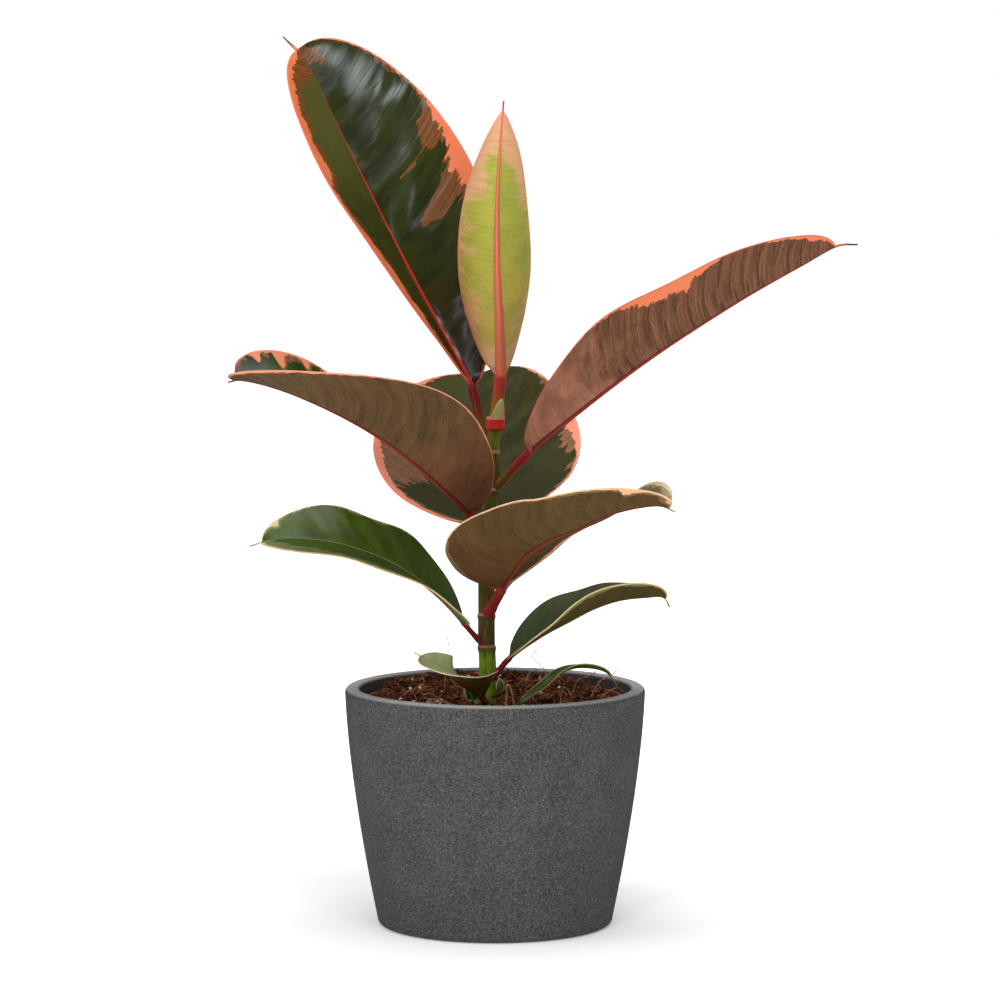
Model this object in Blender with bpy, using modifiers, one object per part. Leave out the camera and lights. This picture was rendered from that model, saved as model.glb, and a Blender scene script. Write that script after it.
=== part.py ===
"""Potted rubber plant: twelve variegated leaves on one stem, in a nursery pot of coir inside a round planter.

The scene is in metres with +Z up. The origin is the middle of the planter's flat foot, and the front of
the plant faces -Y. Sizes below are in millimetres and degrees.
"""

import math

import bmesh
import bpy
import numpy as np

MM = 0.001
GAP = 0.3
WELD = 0.01

# Planter: a turned stoneware pot with a softly swelling wall.
PLANTER_HEIGHT = 111.5
PLANTER_RIM_RADIUS = 70.0
PLANTER_FOOT_RADIUS = 54.4
PLANTER_SWELL = 1.5
PLANTER_WALL = 6.9
PLANTER_FLOOR = 8.0
RIM_OUTER_ROUND = 2.4
RIM_INNER_ROUND = 2.0
FOOT_ROUND = 3.2
FLOOR_ROUND = 6.0
PLANTER_STEPS = 48
OUTER_WALL_RINGS = 8
INNER_WALL_RINGS = 5

# Nursery pot: a thin plastic grow pot with a stepped lip, standing on the planter's floor.
NURSERY_BOTTOM = PLANTER_FLOOR + GAP
NURSERY_TOP = 106.3
NURSERY_WALL = 1.2
LIP_RADIUS = 60.0
LIP_HEIGHT = 9.0
LIP_STEP = 2.6
LIP_TAPER = 0.3
STEP_SLOPE = 0.6
NURSERY_FOOT_RADIUS = 43.0
NURSERY_FOOT_BEVEL = 1.5
NURSERY_STEPS = 40
DRAIN_HOLES = 6
DRAIN_RADIUS = 4.0
DRAIN_CIRCLE = 29.0
DRAIN_SEGMENTS = 12

# Soil: coir filling the nursery pot, heaped up towards the back and the left.
SOIL_MIDDLE = 102.2
SOIL_HEAP = 4.2
SOIL_HEAP_BACK = 3.8
SOIL_HEAP_LEFT = 0.9
SOIL_SHOULDER = 50.0
SOIL_EDGE_DROP = 3.2
SOIL_EDGE_WIDTH = 8.0
SOIL_LUMP = 0.7
SOIL_LEVEL_RADIUS = 8.0
SOIL_LUMP_RISE = 12.0
SOIL_STEPS = 40
SOIL_RINGS = 8
STEM_HOLE_SEGMENTS = 16
STALK_HOLE_REACH = 2.0

# Stem: (x, y, z, radius) along its middle, from its foot in the soil to the growing tip.
STEM_AXIS = [
    (-4, 0, 60, 4.2),
    (-4, 0, 91, 4.2),
    (-4, 0, 105, 4.1),
    (-3.5, 0, 120, 4.0),
    (-4, 0, 133, 4.0),
    (-4, 0, 148, 3.9),
    (-4, 0, 170.5, 3.8),
    (-3.5, 0, 189.5, 3.6),
    (-1, 0, 206, 3.4),
    (-1, 0, 224.5, 3.1),
    (0, 0, 232.5, 3.1),
    (0.5, 0, 236, 2.9),
]
STEM_NODES = (104, 113, 129.5, 144.5, 171, 176, 203, 220.5)
NODE_RIDGE = 0.35
NODE_SPREAD = 1.6
STEM_RINGS = 16
STUB_FLARE = 1.15
STUB_CLEAR = 0.5
STUB_RINGS = 4

# Stipule: the torn sheath left round the growing tip.
SHEATH_MIDDLE = (0.3, 0)
SHEATH_BOTTOM = 231.5
SHEATH_BAND = 6.0
SHEATH_FLAP = 8.5
SHEATH_HEM = 0.4
SHEATH_RADIUS = 3.75
SHEATH_WALL = 0.7
FLAP_ANGLE = -80
FLAP_SHARPNESS = 1.6
SHEATH_STEPS = 24

# Leaf blades.
BLADE_THICKNESS = 0.7
BLADE_SECTIONS = 18
SMALL_BLADE_LENGTH = 70
SMALL_BLADE_SECTIONS = 11
STALK_SECTIONS = 3
COLUMNS_PER_HALF = (1.0, 0.52)
RING_POINTS = 14
STALK_BLEND = 0.02
RIB_DEPTH = 1.3
RIB_TAPER = 0.85
RIB_SINK = 3
RIB_LEAST = 0.1
RIB_MOST_SHARE = 0.3
TIP_HALF_WIDTH = 0.35
NEEDLE_WIDTH = 0.11
NEEDLE_TAPER = 0.6
NEEDLE_START = 0.5
NEEDLE_RISE = 0.4
RIPPLE_SHIFT = 0.9
CURVE_STEPS = 24


# Each leaf: the middle line from the stalk's root to the tip, with the index of the point where the blade
# starts; the way its upper face looks there; its turn about the middle line from base to tip; and for each
# half its widest reach, its fold up from flat at the rib, and how far it curls on from there to the margin.
# Where a value is a list, it changes smoothly from the base to the tip.
LEAVES = [
    dict(
        name="leaf_top_left",
        line=[(-1, 0, 220.5), (-6, 5, 230.5), (-10.5, 11, 249), (-19, 17, 265.5), (-32.5, 26, 289),
              (-52.5, 42, 326.5), (-74, 56, 369.5), (-90.5, 64, 402), (-100.5, 66, 413)],
        base=2, face=(0.1, -0.95, 0.3), turn=[0],
        left=dict(reach=[34, 43, 47.5, 48.5, 49], fold=[60, 59, 55, 51, 42], curl=[12]),
        right=dict(reach=[47, 49, 49, 54], fold=[5, 8, 8], curl=[12, 10]),
        tip=9, widest=0.55, blunt=(0.6, 0.5), stalk=2.2, wave=(1.0, 2.5, 0.0),
    ),
    dict(
        name="leaf_new",
        line=[(0.5, 0, 236.3), (1.5, 0, 245.5), (2.5, -2, 256.5), (2, -9, 280), (1, -12, 304),
              (1, -10, 338), (2.5, -4, 365.5), (4, 2, 383.5)],
        base=2, face=(0.05, 1, 0), turn=[0],
        left=dict(reach=[20, 25, 25, 33], fold=[35], curl=[40]),
        right=dict(reach=[34, 30, 29], fold=[28], curl=[40]),
        tip=5, widest=0.48, blunt=(0.45, 0.72), stalk=2.9, wave=(0.0, 2.0, 0.0),
    ),
    dict(
        name="leaf_right",
        line=[(-1, 0, 203), (4, -2.5, 208.5), (15.5, -9, 221.5), (36, -17, 238.5), (71, -28, 265.5),
              (112.5, -38, 293.5), (139.5, -42, 309.5), (156, -42, 318.5), (164.5, -41, 319)],
        base=2, face=(-0.5, 0.1, 0.85), turn=[0],
        left=dict(reach=[38], fold=[25], curl=[15]),
        right=dict(reach=[34, 36, 33.5, 43], fold=[34, 36, 34, 36], curl=[20]),
        tip=10, widest=0.5, blunt=(0.62, 0.55), stalk=2.1, wave=(0.6, 3.0, 0.5),
    ),
    dict(
        name="leaf_back",
        line=[(-4, 0, 171), (-4, 10, 177), (-4.5, 20, 183.5), (-6, 45, 193.5), (-8, 75, 206),
              (-9, 108, 222.5), (-9, 142, 240.5), (-8.5, 164, 251)],
        base=2, face=(0, -0.5, 0.85), turn=[0],
        left=dict(reach=[66, 50, 46], fold=[2, 10, 12], curl=[10]),
        right=dict(reach=[64, 50, 46], fold=[10, 12, 26, 32], curl=[10]),
        tip=12, widest=0.5, blunt=(0.5, 0.6), stalk=2.4, wave=(1.0, 2.5, 2.0),
    ),
    dict(
        name="leaf_left",
        line=[(-4, 0, 176), (-8, -9, 183.5), (-11.5, -20, 193), (-22.5, -34, 205), (-38, -44, 219.5),
              (-52.5, -50, 231), (-72.5, -55, 243), (-98.5, -58, 254.5), (-115.5, -58, 258.5),
              (-120.5, -57, 257.5)],
        base=2, face=(0.45, 0.1, 0.88), turn=[0, -2, -16, -36, -48],
        left=dict(reach=[44, 41, 41], fold=[50, 50, 46, 42], curl=[10]),
        right=dict(reach=[40, 32, 27, 30], fold=[20, 12, 8, 14], curl=[10]),
        tip=3, widest=0.53, blunt=(0.55, 0.28), stalk=2.1, wave=(0.6, 2.5, 1.0),
    ),
    dict(
        name="leaf_front",
        line=[(-4, 0, 144.5), (-0.5, -9.5, 151.5), (3, -20, 159), (8.5, -34, 168), (15.5, -48, 178),
              (26.5, -60, 186), (38, -68, 191.5), (50.5, -76, 198.5), (65, -82, 203), (74.5, -85, 204),
              (80.5, -85, 201.5)],
        base=2, face=(-0.2, 0.3, 0.9), turn=[0],
        left=dict(reach=[37, 32, 29], fold=[14, 13, 16, 56], curl=[10]),
        right=dict(reach=[47, 39, 28], fold=[8, 12, 8, 5], curl=[10]),
        tip=3, widest=0.48, blunt=(0.6, 0.3), stalk=2.4, wave=(0.5, 3.0, 3.0),
    ),
    dict(
        name="leaf_lower_left",
        line=[(-4, 0, 129.5), (-9.5, -5, 136), (-14.5, -12, 142.5), (-26.5, -22, 156), (-42.5, -30, 169),
              (-58, -34, 177), (-74, -36, 182), (-89.5, -36, 184), (-104, -34, 183), (-112.5, -33, 180.5)],
        base=2, face=(0.35, -0.35, 0.85), turn=[0],
        left=dict(reach=[36, 32, 27, 32, 30], fold=[14, 10, 4, 2], curl=[4]),
        right=dict(reach=[34, 30, 26.5, 30, 37], fold=[14, 16, 24], curl=[6]),
        tip=6, widest=0.5, blunt=(0.6, 0.5), stalk=1.3, wave=(0.8, 3.0, 1.0),
    ),
    dict(
        name="leaf_lower_right",
        line=[(-3.5, 0, 113), (1.5, -6, 119.5), (6.5, -12, 126), (20, -22, 136.5), (35, -30, 145.5),
              (46.5, -35, 152), (57.5, -38, 156), (68.5, -39, 157.5), (77, -38, 157.5), (80, -37, 153)],
        base=2, face=(-0.3, -0.25, 0.9), turn=[0],
        left=dict(reach=[35, 26, 22, 29], fold=[26, 13, 4, 0], curl=[10]),
        right=dict(reach=[22, 22, 24], fold=[0, 8, 30, 58], curl=[10]),
        tip=4.5, widest=0.5, blunt=(0.6, 0.6), stalk=1.5, wave=(0.4, 3.0, 2.0),
    ),
    dict(
        name="leaf_low_front",
        line=[(-4, 0, 103), (-6, -12, 107.5), (-9, -21, 112), (-12.5, -30, 116), (-18.5, -36, 120.5),
              (-25, -37, 124.5), (-31, -34, 128), (-37, -29, 131)],
        base=1, face=(-0.43, 0.73, 0.39), turn=[0, -25, -85, -125],
        left=dict(reach=[15, 16, 14], fold=[5, 0, 0], curl=[10]),
        right=dict(reach=[12, 13, 14], fold=[60, 30, 10], curl=[10]),
        tip=4, widest=0.5, blunt=(0.45, 0.6), stalk=1.6, wave=(0.0, 2.0, 0.0),
    ),
    dict(
        name="leaf_low_right",
        line=[(9.5, -9, 94), (11, -11, 104), (16, -12, 109), (23, -13, 114), (31, -13, 119.5),
              (39.5, -11, 121.5), (52, -8, 118.8), (57, -6, 112)],
        base=1, face=(-0.3, -0.8, 0.4), turn=[0, 0, -55, -80, -100],
        left=dict(reach=[2.7, 2.8, 3.8, 3], fold=[15], curl=[10]),
        right=dict(reach=[2.7, 2.8, 3.8, 3], fold=[15], curl=[10]),
        tip=5, widest=0.5, blunt=(0.6, 0.6), stalk=1.2, wave=(0.0, 2.0, 0.0),
    ),
    dict(
        name="leaf_bud_left",
        line=[(-9.5, -6, 94), (-10.2, -6, 103.4), (-11, -6.2, 107), (-12.5, -6.5, 111.5), (-14.3, -6.8, 116)],
        base=1, face=(0.3, -0.9, 0.3), turn=[0],
        left=dict(reach=[3.5], fold=[10], curl=[10]),
        right=dict(reach=[3.3], fold=[10], curl=[10]),
        tip=1.5, widest=0.5, blunt=(0.6, 0.6), stalk=0.9, wave=(0.0, 2.0, 0.0),
    ),
    dict(
        name="leaf_bud_right",
        line=[(-4, 0, 106.8), (0, -4.2, 107.6), (1.6, -5.6, 108.8), (2.4, -6.2, 111.5), (2.3, -6.4, 114.5),
              (1.4, -6.4, 117)],
        base=2, face=(0.2, -0.9, 0.2), turn=[0],
        left=dict(reach=[2.2], fold=[10], curl=[10]),
        right=dict(reach=[2.2], fold=[10], curl=[10]),
        tip=1, widest=0.5, blunt=(0.6, 0.6), stalk=0.8, wave=(0.0, 2.0, 0.0),
    ),
]
LEAVES_IN_SOIL = ("leaf_low_right", "leaf_bud_left")
LEAVES_WITHOUT_STUB = ("leaf_new", *LEAVES_IN_SOIL)


# Materials

def material(name, colour, roughness, metallic=0.0):
    made = bpy.data.materials.new(name)
    made.use_nodes = True
    shader = made.node_tree.nodes["Principled BSDF"]
    shader.inputs["Base Color"].default_value = (*colour, 1)
    shader.inputs["Roughness"].default_value = roughness
    shader.inputs["Metallic"].default_value = metallic
    made.diffuse_color = (*colour, 1)
    return made


# Smooth lines and values

def unit(vectors):
    return vectors / np.linalg.norm(vectors, axis=-1, keepdims=True)


def smooth_line(points, steps=CURVE_STEPS):
    """A centripetal spline through the points, and the sample that each point falls on."""
    points = np.array(points, float)
    points = np.vstack([2 * points[0] - points[1], points, 2 * points[-1] - points[-2]])
    knots = np.concatenate([[0], np.cumsum(np.linalg.norm(np.diff(points[:, :3], axis=0), axis=1) ** 0.5)])
    pieces = []
    for i in range(1, len(points) - 2):
        (p0, p1, p2, p3), (k0, k1, k2, k3) = points[i - 1 : i + 3], knots[i - 1 : i + 3]
        k = np.linspace(k1, k2, steps, endpoint=False)[:, None]
        a = (k1 - k) / (k1 - k0) * p0 + (k - k0) / (k1 - k0) * p1
        b = (k2 - k) / (k2 - k1) * p1 + (k - k1) / (k2 - k1) * p2
        c = (k3 - k) / (k3 - k2) * p2 + (k - k2) / (k3 - k2) * p3
        a = (k2 - k) / (k2 - k0) * a + (k - k0) / (k2 - k0) * b
        c = (k3 - k) / (k3 - k1) * b + (k - k1) / (k3 - k1) * c
        pieces.append((k2 - k) / (k2 - k1) * a + (k - k1) / (k2 - k1) * c)
    return np.vstack([*pieces, points[-2][None]]), np.arange(len(points) - 2) * steps


def ease(values, at):
    """Evenly spaced values read smoothly at positions from 0 to 1."""
    at = np.asarray(at, float)
    if len(values) == 1:
        return np.full_like(at, values[0])
    padded = np.concatenate([[2 * values[0] - values[1]], values, [2 * values[-1] - values[-2]]])
    place = np.clip(at, 0, 1) * (len(values) - 1)
    i = np.minimum(place.astype(int), len(values) - 2)
    f = place - i
    a, b, c, d = (padded[i + k] for k in range(4))
    return b + 0.5 * f * (c - a + f * (2 * a - 5 * b + 4 * c - d + f * (3 * (b - c) + d - a)))


def smooth_step(x):
    x = np.clip(x, 0, 1)
    return x * x * (3 - 2 * x)


# Leaf form

class LeafForm:
    """The middle line of a leaf with its upward and sideways directions, and the sections across it."""

    def __init__(self, leaf):
        self.leaf = leaf
        self.points, marks = smooth_line(leaf["line"])
        steps = np.linalg.norm(np.diff(self.points, axis=0), axis=1)
        self.along = np.concatenate([[0], np.cumsum(steps)])
        self.blade_start = self.along[marks[leaf["base"]]]
        self.blade_length = self.along[-1] - self.blade_start
        self.tangent = unit(np.gradient(self.points, axis=0))
        self.up = self.carried_normals(marks[leaf["base"]])
        self.turn_up()

    def carried_normals(self, start):
        """The upper face's direction, carried without twist from the blade's base to both ends."""
        normals = np.zeros_like(self.points)
        face = np.array(self.leaf["face"], float)
        for order in (range(start, len(self.points)), range(start, -1, -1)):
            carried = face
            for i in order:
                carried = unit(carried - carried @ self.tangent[i] * self.tangent[i])
                normals[i] = carried
        return normals

    def turn_up(self):
        share = (self.along - self.blade_start) / self.blade_length
        angle = np.radians(ease(self.leaf["turn"], share))[:, None]
        side = np.cross(self.tangent, self.up)
        self.up = self.up * np.cos(angle) + side * np.sin(angle)

    def place(self, distance):
        """Point, tangent, up and side at a distance along the middle line."""
        def read(rows):
            return np.array([np.interp(distance, self.along, rows[:, k]) for k in range(3)])

        point, tangent = read(self.points), unit(read(self.tangent))
        up = read(self.up)
        up = unit(up - up @ tangent * tangent)
        return point, tangent, up, np.cross(tangent, up)

    def width_share(self, t):
        """Half width at t as a share of the widest: a rounded blade that ends in a fine drip tip."""
        leaf = self.leaf
        u = min(t * self.blade_length / (self.blade_length - leaf["tip"]), 1)
        power = math.log(0.5) / math.log(leaf["widest"])
        rounding = leaf["blunt"][0] + (leaf["blunt"][1] - leaf["blunt"][0]) * u
        blade = max(math.sin(math.pi * u**power), 0) ** rounding
        needle = NEEDLE_WIDTH * (1 - t) ** NEEDLE_TAPER * min(max((t - NEEDLE_START) / NEEDLE_RISE, 0), 1)
        return math.hypot(blade, needle)

    def rib(self, t):
        """How far the rib stands out under the blade, its half width, and its keel's depth below the line."""
        stalk = self.leaf["stalk"]
        depth = max(RIB_DEPTH * stalk * (1 - t) ** RIB_TAPER, RIB_LEAST)
        keel = stalk * (1 - t) ** RIB_SINK + BLADE_THICKNESS / 2
        return depth, max(stalk * (1 - RIB_TAPER * t), TIP_HALF_WIDTH / 2), keel

    def reach(self, half, t):
        return max(float(ease(half["reach"], t)) * self.width_share(t), TIP_HALF_WIDTH)

    def half_section(self, half, sign, t, reach_share):
        """(sideways, up, slope) across one half at a share of its reach."""
        reach = self.reach(half, t)
        fold = math.radians(float(ease(half["fold"], t)))
        curl = math.radians(float(ease(half["curl"], t)))
        slope = fold + curl * reach_share
        sideways = reach / curl * (math.sin(slope) - math.sin(fold))
        up = -reach / curl * (math.cos(slope) - math.cos(fold))
        height, count, phase = self.leaf["wave"]
        ripple = math.sin(2 * math.pi * count * t + phase + (RIPPLE_SHIFT if sign < 0 else 0))
        up += height * reach_share**2 * ripple * math.sin(math.pi * t)
        return sign * sideways, up, sign * slope

    def blade_ring(self, t):
        """Points (sideways, up) round the blade at t, over the top from left to right and back beneath."""
        depth, rib_half, keel = self.rib(t)
        columns = []
        for sign, half in ((-1, self.leaf["left"]), (1, self.leaf["right"])):
            shares = [*COLUMNS_PER_HALF, min(rib_half / self.reach(half, t), RIB_MOST_SHARE)]
            columns.append([self.half_section(half, sign, t, share) for share in shares])
        row = [*columns[0], (0, 0, 0), *reversed(columns[1])]
        skin = BLADE_THICKNESS / 2
        top = [(x - skin * math.sin(a), z + skin * math.cos(a)) for x, z, a in row]
        under = [(x + skin * math.sin(a), z - skin * math.cos(a)) for x, z, a in row]
        under[len(row) // 2] = (0, -skin - depth)
        raised = depth + skin - keel
        return np.array(top + under[::-1]) + [0, raised]

    def stalk_ring(self, radius):
        angles = math.pi - (np.arange(RING_POINTS) + 0.5) * 2 * math.pi / RING_POINTS
        return radius * np.stack([np.cos(angles), np.sin(angles)], 1)

    def ring(self, distance):
        """World points of the section at a distance along the middle line."""
        t = (distance - self.blade_start) / self.blade_length
        flat = self.stalk_ring(self.leaf["stalk"])
        if t > 0:
            mix = smooth_step(t / STALK_BLEND)
            flat = (1 - mix) * flat + mix * self.blade_ring(t)
        return self.lay(flat, distance)

    def lay(self, flat, distance):
        point, _, up, side = self.place(distance)
        return point + flat[:, :1] * side + flat[:, 1:] * up

    def root_distance(self):
        """Where the stalk's end face just clears the stem, on a leaf that grows from it."""
        if self.leaf["name"] in LEAVES_WITHOUT_STUB:
            return 0.0
        for distance in np.arange(2.0, self.blade_start, 0.1):
            ring = self.lay(self.stalk_ring(self.leaf["stalk"]), distance)
            middle, radius = stem_at(ring[:, 2])
            if (np.hypot(ring[:, 0] - middle, ring[:, 1]) - radius).min() > STUB_CLEAR:
                return distance
        return self.blade_start

    def sections(self):
        """Distances of the sections: even along the stalk, closer where the blade opens and closes."""
        stalk = np.linspace(self.root_distance(), self.blade_start, STALK_SECTIONS, endpoint=False)
        count = BLADE_SECTIONS if self.blade_length > SMALL_BLADE_LENGTH else SMALL_BLADE_SECTIONS
        rounded = (1 - np.cos(np.linspace(0, math.pi, count))) / 2
        tip = self.leaf["tip"]
        blade = self.blade_start + rounded * (self.blade_length - tip)
        return [*stalk, *blade, self.along[-1] - tip / 2, self.along[-1]]


def stem_at(height):
    """The stem's middle x and radius at a height."""
    rows = np.array(STEM_AXIS)
    return np.interp(height, rows[:, 2], rows[:, 0]), np.interp(height, rows[:, 2], rows[:, 3])


# Mesh makers

def add_object(name, mesh, look, collection):
    made = bpy.data.objects.new(name, mesh)
    collection.objects.link(made)
    if look:
        mesh.materials.append(look)
    return made


def mesh_of(body, name):
    mesh = bpy.data.meshes.new(name)
    body.to_mesh(mesh)
    body.free()
    return mesh


def lofted(name, rings, look, collection):
    """A closed skin over rings of equal count, each quad split the same way on facing sides."""
    origin = rings[0].mean(axis=0)
    count = len(rings[0])
    body = bmesh.new()
    rows = [[body.verts.new((p - origin) * MM) for p in ring] for ring in rings]
    for near, far in zip(rows, rows[1:]):
        for k in range(count):
            n = (k + 1) % count
            if k < count // 2:
                body.faces.new((near[k], near[n], far[n]))
                body.faces.new((near[k], far[n], far[k]))
            else:
                body.faces.new((near[k], near[n], far[k]))
                body.faces.new((near[n], far[n], far[k]))
    body.faces.new(rows[0][::-1])
    body.faces.new(rows[-1])
    mesh = mesh_of(body, name)
    mesh.shade_smooth()
    mesh.set_sharp_from_angle(angle=math.radians(40))
    made = add_object(name, mesh, look, collection)
    made.location = origin * MM
    return made


def turned(name, profile, steps, look, collection):
    """A profile of (radius, height), run down its outer side, turned about Z."""
    mesh = bpy.data.meshes.new(name)
    corners = [(r * MM, 0, z * MM) for r, z in profile]
    mesh.from_pydata(corners, [(i, i + 1) for i in range(len(corners) - 1)], [])
    made = add_object(name, mesh, look, collection)
    screw = made.modifiers.new("turn", "SCREW")
    screw.steps = screw.render_steps = steps
    screw.use_merge_vertices = True
    screw.merge_threshold = WELD * MM
    screw.use_smooth_shade = True
    return made


def spun(profile, steps):
    """The same as a bmesh, for a turned shape whose points are moved afterwards."""
    body = bmesh.new()
    corners = [body.verts.new((r * MM, 0, z * MM)) for r, z in profile]
    edges = [body.edges.new(pair) for pair in zip(corners, corners[1:])]
    bmesh.ops.spin(body, geom=[*corners, *edges], cent=(0, 0, 0), axis=(0, 0, 1), angle=2 * math.pi,
                   steps=steps, use_merge=True)
    bmesh.ops.remove_doubles(body, verts=body.verts, dist=WELD * MM)
    return body


def arc(middle, radius, start, end, points):
    angles = np.radians(np.linspace(start, end, points))
    return [(middle[0] + radius * math.cos(a), middle[1] + radius * math.sin(a)) for a in angles]


def as_cutter(made):
    made.hide_render = True
    made.display_type = "WIRE"


def round_cutter(name, radius, height, middle, segments, collection):
    body = bmesh.new()
    bmesh.ops.create_cone(body, cap_ends=True, segments=segments, radius1=radius * MM, radius2=radius * MM,
                          depth=height * MM)
    made = add_object(name, mesh_of(body, name), None, collection)
    made.location = [value * MM for value in middle]
    as_cutter(made)
    return made


def child_collection(name, parent):
    made = bpy.data.collections.new(name)
    parent.children.link(made)
    return made


def boolean(made, other, operation):
    cut = made.modifiers.new(operation.lower(), "BOOLEAN")
    cut.operation = operation
    if isinstance(other, bpy.types.Collection):
        cut.operand_type = "COLLECTION"
        cut.collection = other
    else:
        cut.object = other


# Pots

def planter_radius(z):
    rise = max(1 - z / PLANTER_HEIGHT, 0)
    return PLANTER_RIM_RADIUS - (PLANTER_RIM_RADIUS - PLANTER_FOOT_RADIUS) * rise**PLANTER_SWELL


def make_planter(collection):
    top = PLANTER_HEIGHT
    floor_radius = planter_radius(PLANTER_FLOOR + FLOOR_ROUND) - PLANTER_WALL
    inner_lip = PLANTER_RIM_RADIUS - PLANTER_WALL
    inner_heights = np.linspace(PLANTER_FLOOR + FLOOR_ROUND, top - RIM_INNER_ROUND, INNER_WALL_RINGS)
    outer_heights = np.linspace(top - RIM_OUTER_ROUND, FOOT_ROUND, OUTER_WALL_RINGS)
    profile = [(0, PLANTER_FLOOR)]
    profile += arc((floor_radius - FLOOR_ROUND, PLANTER_FLOOR + FLOOR_ROUND), FLOOR_ROUND, -90, 0, 3)
    profile += [(planter_radius(z) - PLANTER_WALL, z) for z in inner_heights[1:-1]]
    profile += arc((inner_lip + RIM_INNER_ROUND, top - RIM_INNER_ROUND), RIM_INNER_ROUND, 180, 90, 4)
    rim_middle = PLANTER_RIM_RADIUS - RIM_OUTER_ROUND
    profile += arc((rim_middle, top - RIM_OUTER_ROUND), RIM_OUTER_ROUND, 90, 0, 4)
    profile += [(planter_radius(z), z) for z in outer_heights[1:-1]]
    foot_middle = planter_radius(FOOT_ROUND) - FOOT_ROUND
    profile += arc((foot_middle, FOOT_ROUND), FOOT_ROUND, 0, -90, 4)
    profile += [(0, 0)]
    stoneware = material("planter_stoneware", (0.09, 0.09, 0.095), 0.75)
    return turned("planter", profile, PLANTER_STEPS, stoneware, collection)


def nursery_radius(z):
    """Outer radius of the nursery pot's wall below its lip."""
    under_lip = NURSERY_TOP - LIP_HEIGHT
    share = (z - NURSERY_BOTTOM) / (under_lip - NURSERY_BOTTOM)
    return NURSERY_FOOT_RADIUS + (LIP_RADIUS - LIP_STEP - NURSERY_FOOT_RADIUS) * share


def make_nursery_pot(collection, cutters):
    under_lip = NURSERY_TOP - LIP_HEIGHT
    profile = [
        (LIP_RADIUS, NURSERY_TOP),
        (LIP_RADIUS - LIP_TAPER, under_lip),
        (nursery_radius(under_lip), under_lip - STEP_SLOPE),
        (NURSERY_FOOT_RADIUS, NURSERY_BOTTOM + NURSERY_FOOT_BEVEL),
        (NURSERY_FOOT_RADIUS - NURSERY_FOOT_BEVEL, NURSERY_BOTTOM),
        (0, NURSERY_BOTTOM),
    ]
    plastic = material("nursery_pot_plastic", (0.42, 0.14, 0.08), 0.5)
    pot = turned("nursery_pot", profile, NURSERY_STEPS, plastic, collection)
    shell = pot.modifiers.new("wall", "SOLIDIFY")
    shell.thickness = NURSERY_WALL * MM
    shell.offset = -1
    shell.use_even_offset = True
    drains = child_collection("drain_cutters", cutters)
    for i in range(DRAIN_HOLES):
        angle = 2 * math.pi * (i + 0.5) / DRAIN_HOLES
        x, y = DRAIN_CIRCLE * math.cos(angle), DRAIN_CIRCLE * math.sin(angle)
        middle = (x, y, NURSERY_BOTTOM + NURSERY_WALL / 2)
        round_cutter(f"drain_cutter_{i}", DRAIN_RADIUS, 4 * NURSERY_WALL, middle, DRAIN_SEGMENTS, drains)
    boolean(pot, drains, "DIFFERENCE")
    return pot


# Soil

def soil_top(x, y):
    """Height of the soil's surface: flat by the stem, heaped to the back and left, and lumpy."""
    r = math.hypot(x, y)
    back, left = (y / r, -x / r) if r else (0, 0)
    heap = SOIL_HEAP + SOIL_HEAP_BACK * back + SOIL_HEAP_LEFT * left
    height = SOIL_MIDDLE + heap * min(r / SOIL_SHOULDER, 1.15) ** 1.5
    height -= SOIL_EDGE_DROP * max((r - SOIL_SHOULDER) / SOIL_EDGE_WIDTH, 0) ** 2
    lumps = math.sin(0.31 * x + 1.3) * math.sin(0.27 * y + 0.4) + 0.7 * math.sin(0.13 * x - 0.22 * y)
    return height + SOIL_LUMP * lumps * smooth_step((r - SOIL_LEVEL_RADIUS) / SOIL_LUMP_RISE)


def make_soil(collection, stem_hole, stalk_holes):
    bottom = NURSERY_BOTTOM + NURSERY_WALL + GAP
    step = NURSERY_TOP - LIP_HEIGHT + NURSERY_WALL
    inset = NURSERY_WALL + 2 * GAP
    edge = LIP_RADIUS - inset
    surface = PLANTER_HEIGHT
    profile = [(edge * i / SOIL_RINGS, surface) for i in range(SOIL_RINGS + 1)]
    profile += [
        (edge - LIP_TAPER, step + 2 * GAP),
        (LIP_RADIUS - LIP_STEP - inset - GAP, step - GAP),
        (nursery_radius(bottom) - inset - NURSERY_FOOT_BEVEL, bottom),
        (0, bottom),
    ]
    body = spun(profile, SOIL_STEPS)
    for corner in body.verts:
        if corner.co.z > (surface - GAP) * MM:
            corner.co.z = soil_top(corner.co.x / MM, corner.co.y / MM) * MM
    bmesh.ops.triangulate(body, faces=body.faces)
    bmesh.ops.recalc_face_normals(body, faces=body.faces)
    coir = material("coir_soil", (0.09, 0.04, 0.02), 0.95)
    soil = add_object("soil", mesh_of(body, "soil"), coir, collection)
    boolean(soil, stem_hole, "DIFFERENCE")
    boolean(soil, stalk_holes, "DIFFERENCE")
    return soil


# Stem and stipule

def circle_rings(form, distances, radius):
    return [form.lay(form.stalk_ring(radius), distance) for distance in distances]


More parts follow.
